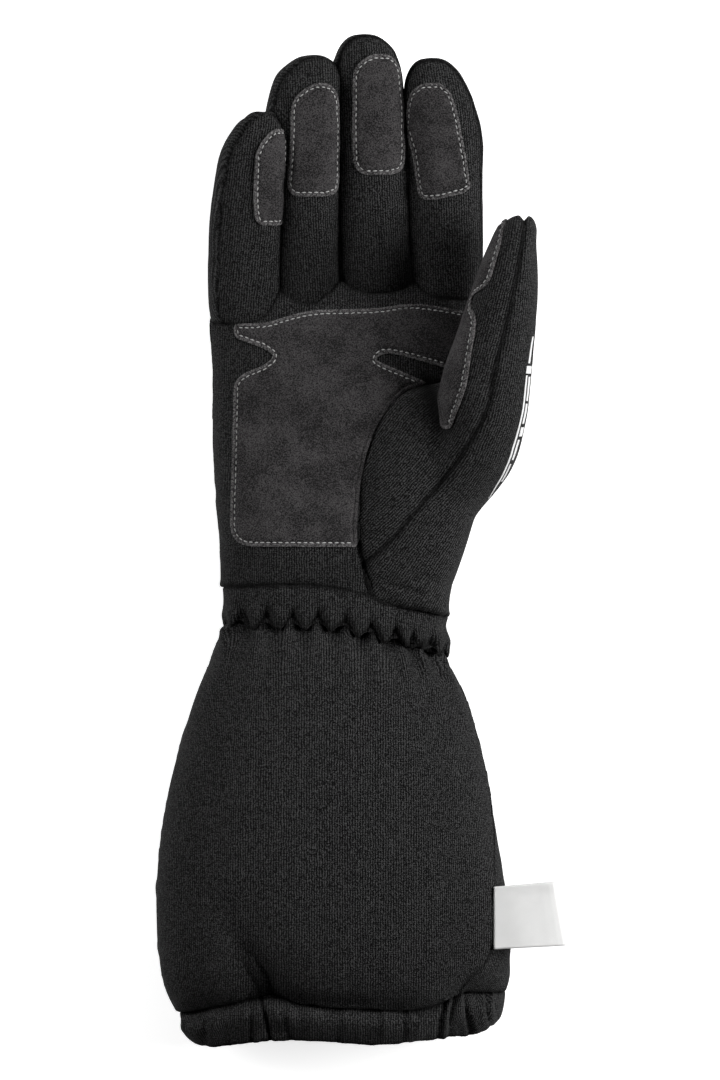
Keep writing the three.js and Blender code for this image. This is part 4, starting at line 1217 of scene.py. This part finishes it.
def cast_down(flat):
    """Points on the palm straight below flat points, and which of them were hit."""
    places, found = [], []
    for x, y in flat * MM:
        hit = palm_surface.ray_cast(Vector((x, y, RAY_HEIGHT)), Vector((0, 0, -1)))[0]
        good = hit is not None and hit.z > PALM_LOW * MM
        places.append((x, y, hit.z if good else 0))
        found.append(good)
    return np.array(places), np.array(found)


palm_patch, palm_thread = lay_patch("palm_patch_suede", rounded_outline(PALM_PATCH), cast_down)
palm_stitches = sew("palm_patch_stitches", palm_thread, 31)
print("palm patch:", len(palm_patch.data.polygons), "faces; stitches:", len(palm_stitches.data.polygons))

# %% Finger patches
# Each finger's line: y, x and z in millimetres; then its patch: y, and x of its left and right edges.
FINGERS = {
    "little": (
        [(84, -42.6, 17), (109, -42.7, 19), (127.5, -42.2, 23), (161.2, -37.4, 33.5)],
        [(118, -37.5, -31), (119.6, -39.4, -28), (132.8, -39.8, -28), (144, -39.2, -28), (148.9, -37.1, -28),
         (152.6, -34, -28), (153.9, -32.2, -28)],
    ),
    "ring": (
        [(89.2, -19.8, 16.3), (127.5, -19.9, 19.8), (146, -20.6, 23), (161, -21.6, 26), (182, -17.8, 29.3)],
        [(128.8, -24, -13.5), (130.2, -26.3, -9.4), (133, -27.1, -8.4), (154.6, -25.9, -8.2),
         (163.9, -25.2, -8.3), (167.4, -23, -9), (170.1, -19.1, -10.6), (171.2, -16.2, -12.6)],
    ),
    "middle": (
        [(94.8, 6.4, 16), (109, 5, 16.5), (127.5, 4.5, 17.8), (146, 4.3, 20), (161, 3.8, 22.2),
         (190, 1.6, 26.3)],
        [(136.9, 1.6, 10.5), (138.1, -0.6, 15), (141.5, -2.4, 16.5), (157.7, -2.8, 16.1), (175.1, -2.5, 14.9),
         (178.2, -0.9, 14), (180.6, 1.8, 12.2), (182, 5, 9.8)],
    ),
    "index": (
        [(93.2, 33, 15.5), (109, 32.6, 16.2), (127.5, 32.3, 18), (146, 31.9, 20.8), (157.5, 30.9, 22.9),
         (181.3, 26.5, 26.6)],
        [(127.6, 24, 28.5), (128.6, 22.7, 33), (130.2, 22.1, 38.8), (132, 21.8, 41.4), (137.6, 20.9, 40.5),
         (146.3, 19.6, 39.1), (154.9, 18.5, 37.4), (162.8, 18, 35.6), (168, 19.4, 33.7), (171.2, 23.6, 30)],
    ),
}
# The radius that the patches are unrolled with, and how many places of a finger's skin are tried.
ROUND, TRIES = 13.0, 60
# How far round a finger the patch's edge is looked for, in degrees, and where the rays start, in metres.
FINGER_TURN, THUMB_TURN, OUT = 84, 90, 0.04
# The pitch of an edge before its corners are cut, and how near the left edge counts as sewn.
ROUGH_STEP, SEWN_REACH = 1.8, 2.5


def axis_at(line, y):
    """The middle of a finger at y."""
    rows = np.array(line, float)
    return np.interp(y, rows[:, 0], rows[:, 1]), np.interp(y, rows[:, 0], rows[:, 2])


def round_cast(surface, line):
    """A function that casts unrolled points, angle times a radius and y, onto a finger."""

    def cast(flat):
        places = []
        for turn, y in flat:
            x, z = axis_at(line, y)
            angle = turn / ROUND
            out = Vector((math.sin(angle), 0, math.cos(angle)))
            start = Vector((x, y, z)) * MM
            hit = surface.ray_cast(start + out * OUT, -out)[0]
            places.append(tuple(hit or start + out * ROUND * MM))
        return np.array(places), np.ones(len(places), bool)

    return cast


def skin(cast, turns, y):
    """The points of a finger's skin at some unrolled places at one y, in millimetres."""
    return cast(np.column_stack([turns, np.full(len(turns), y)]))[0] / MM


def edge_turn(cast, y, x_edge, limit):
    """The unrolled place, up to a limit either way, where a finger's skin is at x_edge from the front."""
    turns = np.linspace(-limit, limit, TRIES)
    return float(np.interp(x_edge, np.maximum.accumulate(skin(cast, turns, y)[:, 0]), turns))


def smooth_path(left, right, sewn_from=0.0):
    """A closed outline up one edge and down the other, sewn_from up there, with its corners cut twice."""
    path = even_outline([(x, y, 1) for x, y in left + right[::-1]], ROUGH_STEP)[0]
    for _ in range(2):
        after = np.roll(path, -1, axis=0)
        path = np.column_stack([0.75 * path + 0.25 * after, 0.25 * path + 0.75 * after]).reshape(-1, 2)
    xs, ys = zip(*left)
    return [(x, y, int(y > sewn_from or abs(x - np.interp(y, ys, xs)) < SEWN_REACH)) for x, y in path]


patches = {"palm_patch": palm_patch}
stitch_rows = {"palm_patch": palm_stitches}
for number, (name, (line, rows)) in enumerate(FINGERS.items()):
    surface = surface_of(panels[name + "_finger_front"], panels[name + "_finger_back"])
    cast = round_cast(surface, line)
    limit = math.radians(FINGER_TURN) * ROUND
    left, right = ([(edge_turn(cast, row[0], row[k], limit), row[0]) for row in rows] for k in (1, 2))
    patch, thread_path = lay_patch(name + "_finger_patch_suede", smooth_path(left, right), cast)
    patches[name + "_finger_patch"] = patch
    stitch_rows[name + "_finger_patch"] = sew(name + "_finger_patch_stitches", thread_path, 40 + number)
    print(name, "patch:", len(patch.data.polygons), "faces")

# %% Thumb patch
# y, and x of its border as seen from the front; the border is the same underneath.
THUMB_LINE = [(42.4, 46.6, 37), (65.3, 48.6, 43.7), (76.5, 51.2, 45.3), (100, 55.8, 47.3), (112, 57.9, 47.9),
              (121.6, 60.6, 48)]
THUMB_PATCH = [(41.5, 34.4), (50.4, 37.4), (57.4, 39.8), (65.3, 41), (81, 43.5), (84.6, 43.2), (87, 41.7),
               (90.8, 42.3), (93.4, 46), (96.4, 48.6), (112.5, 53.4), (119.4, 55.6)]
thumb_surface = surface_of(panels["thumb_front_panel"], panels["thumb_back_panel"])
thumb_cast = round_cast(thumb_surface, THUMB_LINE)
QUARTER = math.radians(THUMB_TURN) * ROUND
# The patch ends underneath a few tries before the skin is this much further out than the usual radius.
PAST, TRIES_UNDER, BACK_OFF, FEWEST, SEWN_FROM = 5, 80, 3, 8, 60.0
front_edge, under_edge = [], []
for y, x in THUMB_PATCH:
    turn = edge_turn(thumb_cast, y, x, QUARTER)
    last = -2 * QUARTER - turn
    turns = np.linspace(turn, last, TRIES_UNDER)
    spots = skin(thumb_cast, turns, y)[:, [0, 2]] - axis_at(THUMB_LINE, y)
    far_off = np.flatnonzero(np.hypot(*spots.T) > ROUND + PAST)
    if len(far_off):
        last = turns[max(FEWEST, far_off[0] - BACK_OFF)]
    front_edge.append((turn, y))
    under_edge.append((last, y))
    print("thumb patch at", y, "from", round(turn, 1), "to", round(float(last), 1))
border = smooth_path(front_edge, under_edge, SEWN_FROM)
patch, thread_path = lay_patch("thumb_patch_suede", border, thumb_cast)
patches["thumb_patch"] = patch
stitch_rows["thumb_patch"] = sew("thumb_patch_stitches", thread_path, 50)
print("thumb patch:", len(patch.data.polygons), "faces")

# %% Patches replace their solids
for name, piece in patches.items():
    alone(piece)
    bpy.ops.object.shade_smooth_by_angle(angle=SHARP)
    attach(piece, "root")
    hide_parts(name)
    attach(stitch_rows[name], "root")
print("patches:", len(patches))

# %% [markdown]
# ## The sewn tag
#
# The tag is a strip of woven tape, folded in half and caught in the cuff's side seam. A flat grid is bent
# round the loop that the tape makes, with a soft wave, and a Solidify modifier gives it its thickness. It
# is left plain.

# %% Tag
TAG = {"low": -153.2, "high": -129.5, "x": 49.9, "z": 44.2, "low_reach": 27.1, "high_reach": 22.7,
       "fall": 0.16}
TAPE = 0.45
# How far along the reach, and how high in millimetres, from the seam round the fold and back.
TAG_LOOP = [(0, -0.4), (0.2, -0.6), (0.4, -0.95), (0.6, -1.2), (0.78, -1.35), (0.9, -1.25), (0.97, -0.8),
            (1, 0.1), (0.97, 0.95), (0.9, 1.3), (0.78, 1.45), (0.6, 1.3), (0.4, 1.05), (0.2, 0.7), (0, 0.4)]
ACROSS, ALONG = 24, 90
# Its waves: height, length, shift over the width and where they start; its curled upper edge; its lean.
WAVES, WAVE_LENGTH, SHIFT, WAVE_START = 0.35, 5.2, 1.2, 10
CURL, CURL_START, LEAN_LOW, LEAN_MORE = 0.035, 0.8, 0.045, 0.035
bpy.ops.object.select_all(action="DESELECT")
bpy.ops.mesh.primitive_grid_add(x_subdivisions=ALONG, y_subdivisions=ACROSS, size=1)
tag = bpy.context.active_object
tag.name = "tape_tag"
flat = points_of(tag.data)
share, width = flat[:, 0] + 0.5, flat[:, 1] + 0.5
loop = np.array(TAG_LOOP)
steps = np.linspace(0, 1, len(loop))
reach = TAG["low_reach"] + (TAG["high_reach"] - TAG["low_reach"]) * width
out = np.interp(share, steps, loop[:, 0]) * reach
rise = np.interp(share, steps, loop[:, 1])
wave = WAVES * np.sin(out / WAVE_LENGTH + SHIFT * width) * np.clip(out / WAVE_START, 0, 1)
wave += CURL * smooth_step(width, CURL_START, 1) * out
x = TAG["x"] + out
y = TAG["low"] + (TAG["high"] - TAG["low"]) * width + out * (LEAN_LOW + LEAN_MORE * width)
z = TAG["z"] + rise + wave - TAG["fall"] * out
move_points(tag.data, np.column_stack([x, y, z]) * MM)
apply_modifier(tag, "SMOOTH", factor=0.5, iterations=2)
tag.data.materials.append(tape)
apply_modifier(tag, "SOLIDIFY", thickness=TAPE * MM, offset=0)
alone(tag)
bpy.ops.object.shade_smooth()
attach(tag, "root")
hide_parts("sewn_tag")

# %% [markdown]
# ## The printed stripe
#
# A plain stripe is printed along the thumb's outer edge: a thin border line and a row of plain bars beside
# it. Print has almost no thickness, so each bar is a strip of faces cast onto the knit and raised a tenth
# of a millimetre.

# %% Stripe
STRIPE_LINE = [(12, 33, 26), (30, 42, 32), (42.4, 46.6, 37), (65.3, 48.6, 43.7), (76.5, 51.2, 45.3),
               (90, 53.8, 46.5)]
# How far in from the outline the border line runs, as seen from the front: y and the distance.
STRIPE = [(15.6, 0.8), (20, 1.9), (26.5, 2.8), (34.7, 3.1), (41.5, 2.6), (49.7, 2.3), (61.3, 2.2), (65.8, 2),
          (76, 1.2)]
# Each bar: its lower and upper end, and its near and far side, in millimetres along the knit.
BARS = [
    (15.6, 61.5, 0, 0.9), (66, 76, 0.3, 1.5), (62.2, 65, -0.2, 3.5), (52, 61, 1.8, 3.4),
    (43.5, 51, 1.8, 3.4), (38.8, 42.2, 1.8, 4.6), (30, 37.5, 1.8, 3.2), (22, 28.5, 1.8, 2.9),
]
# Points across a bar, how high the print stands and how thick it is, and how far round it may reach.
COLUMNS, PRINT_HEIGHT, PRINT_THICK, PAST_QUARTER, STRIPE_TRIES = 4, 0.15, 0.2, 1.2, 80
stripe_cast = round_cast(surface_of(panels["thumb_back_panel"]), STRIPE_LINE)


def border_turn(y):
    """The unrolled place of the border line at y."""
    turns = np.linspace(0, QUARTER * PAST_QUARTER, STRIPE_TRIES)
    xs = skin(stripe_cast, turns, y)[:, 0]
    edge = xs.max() - np.interp(y, *np.array(STRIPE).T)
    return float(np.interp(edge, np.maximum.accumulate(xs), turns))


def printed_bar(low, high, near, far):
    """Points and faces of one bar."""
    ys = np.linspace(low, high, max(3, int(high - low)))
    offs = [near + (far - near) * k / (COLUMNS - 1) for k in range(COLUMNS)]
    flat = [(turn + off, y) for turn, y in zip([border_turn(y) for y in ys], ys) for off in offs]
    starts = [i * COLUMNS + k for i in range(len(ys) - 1) for k in range(COLUMNS - 1)]
    return stripe_cast(np.array(flat))[0], [(s, s + 1, s + COLUMNS + 1, s + COLUMNS) for s in starts]


printed = add_mesh("printed_stripe", *join(printed_bar(*bar) for bar in BARS), white_print)
if normals_of(printed.data)[:, 0].mean() < 0:
    printed.data.flip_normals()
move_points(printed.data, points_of(printed.data) + normals_of(printed.data) * PRINT_HEIGHT * MM)
apply_modifier(printed, "SOLIDIFY", thickness=PRINT_THICK * MM, offset=-1)
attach(printed, "root")
print("stripe bars:", len(BARS))

# %% [markdown]
# ## Floor, light and camera
#
# The camera looks straight down, as the photograph does, from far enough away that nothing leans. A strong
# soft light low on the thumb's side and a weaker one on the other side model the round forms, a faint one
# beyond the fingertips fills the tips, and the world is bright above and dark towards the floor, so that
# rounded edges fall into shade. The floor glows a little, which makes it as white as the photograph's.

# %% Floor
bpy.ops.mesh.primitive_plane_add(size=6, location=(0, 0, 0))
floor = bpy.context.active_object
floor.name = "floor"
floor_material, tree, shader, place = new_material("pale_floor", 0.9)
shader.inputs["Base Color"].default_value = (0.9, 0.9, 0.9, 1)
floor.data.materials.append(floor_material)
shader.inputs["Emission Color"].default_value = (1, 1, 1, 1)
shader.inputs["Emission Strength"].default_value = 0.75
floor.visible_diffuse = False

# %% Lights


def area_light(name, place, size, power):
    """A square soft light that points at the glove."""
    bpy.ops.object.light_add(type="AREA", location=place)
    light = bpy.context.active_object
    light.name = name
    light.data.size = size
    light.data.energy = power
    light.rotation_euler = (-Vector(place)).to_track_quat("-Z", "Y").to_euler()


area_light("right_key", (1.3, 0.2, 0.7), 0.8, 30)
area_light("left_key", (-1.3, 0.5, 0.5), 0.8, 16)
area_light("top", (0.0, 1.3, 1.1), 0.8, 4)
world = bpy.data.worlds.new("studio")
bpy.context.scene.world = world
world.use_nodes = True
tree = world.node_tree
way = node(tree, "ShaderNodeTexCoord").outputs["Generated"]
up = node(tree, "ShaderNodeSeparateXYZ", {0: way}).outputs[2]
# Inputs 1 to 4: between these two heights, the sky goes from the first of these strengths to the second.
SKY = {1: 0.0, 2: 0.9, 3: 0.02, 4: 0.13}
sky = node(tree, "ShaderNodeMapRange", {0: up, **SKY}).outputs[0]
tree.links.new(sky, tree.nodes["Background"].inputs["Strength"])

# %% Camera
CAMERA_HEIGHT = 5.0
VIEW_HEIGHT = 0.405
GLOVE_MIDDLE = 0.03
bpy.ops.object.camera_add(location=(0, 0, CAMERA_HEIGHT), rotation=(0, 0, 0))
camera = bpy.context.active_object
camera.data.sensor_width = 36
camera.data.lens = camera.data.sensor_width * (CAMERA_HEIGHT - GLOVE_MIDDLE) / VIEW_HEIGHT
bpy.context.scene.camera = camera
bpy.context.scene.view_settings.view_transform = "Standard"
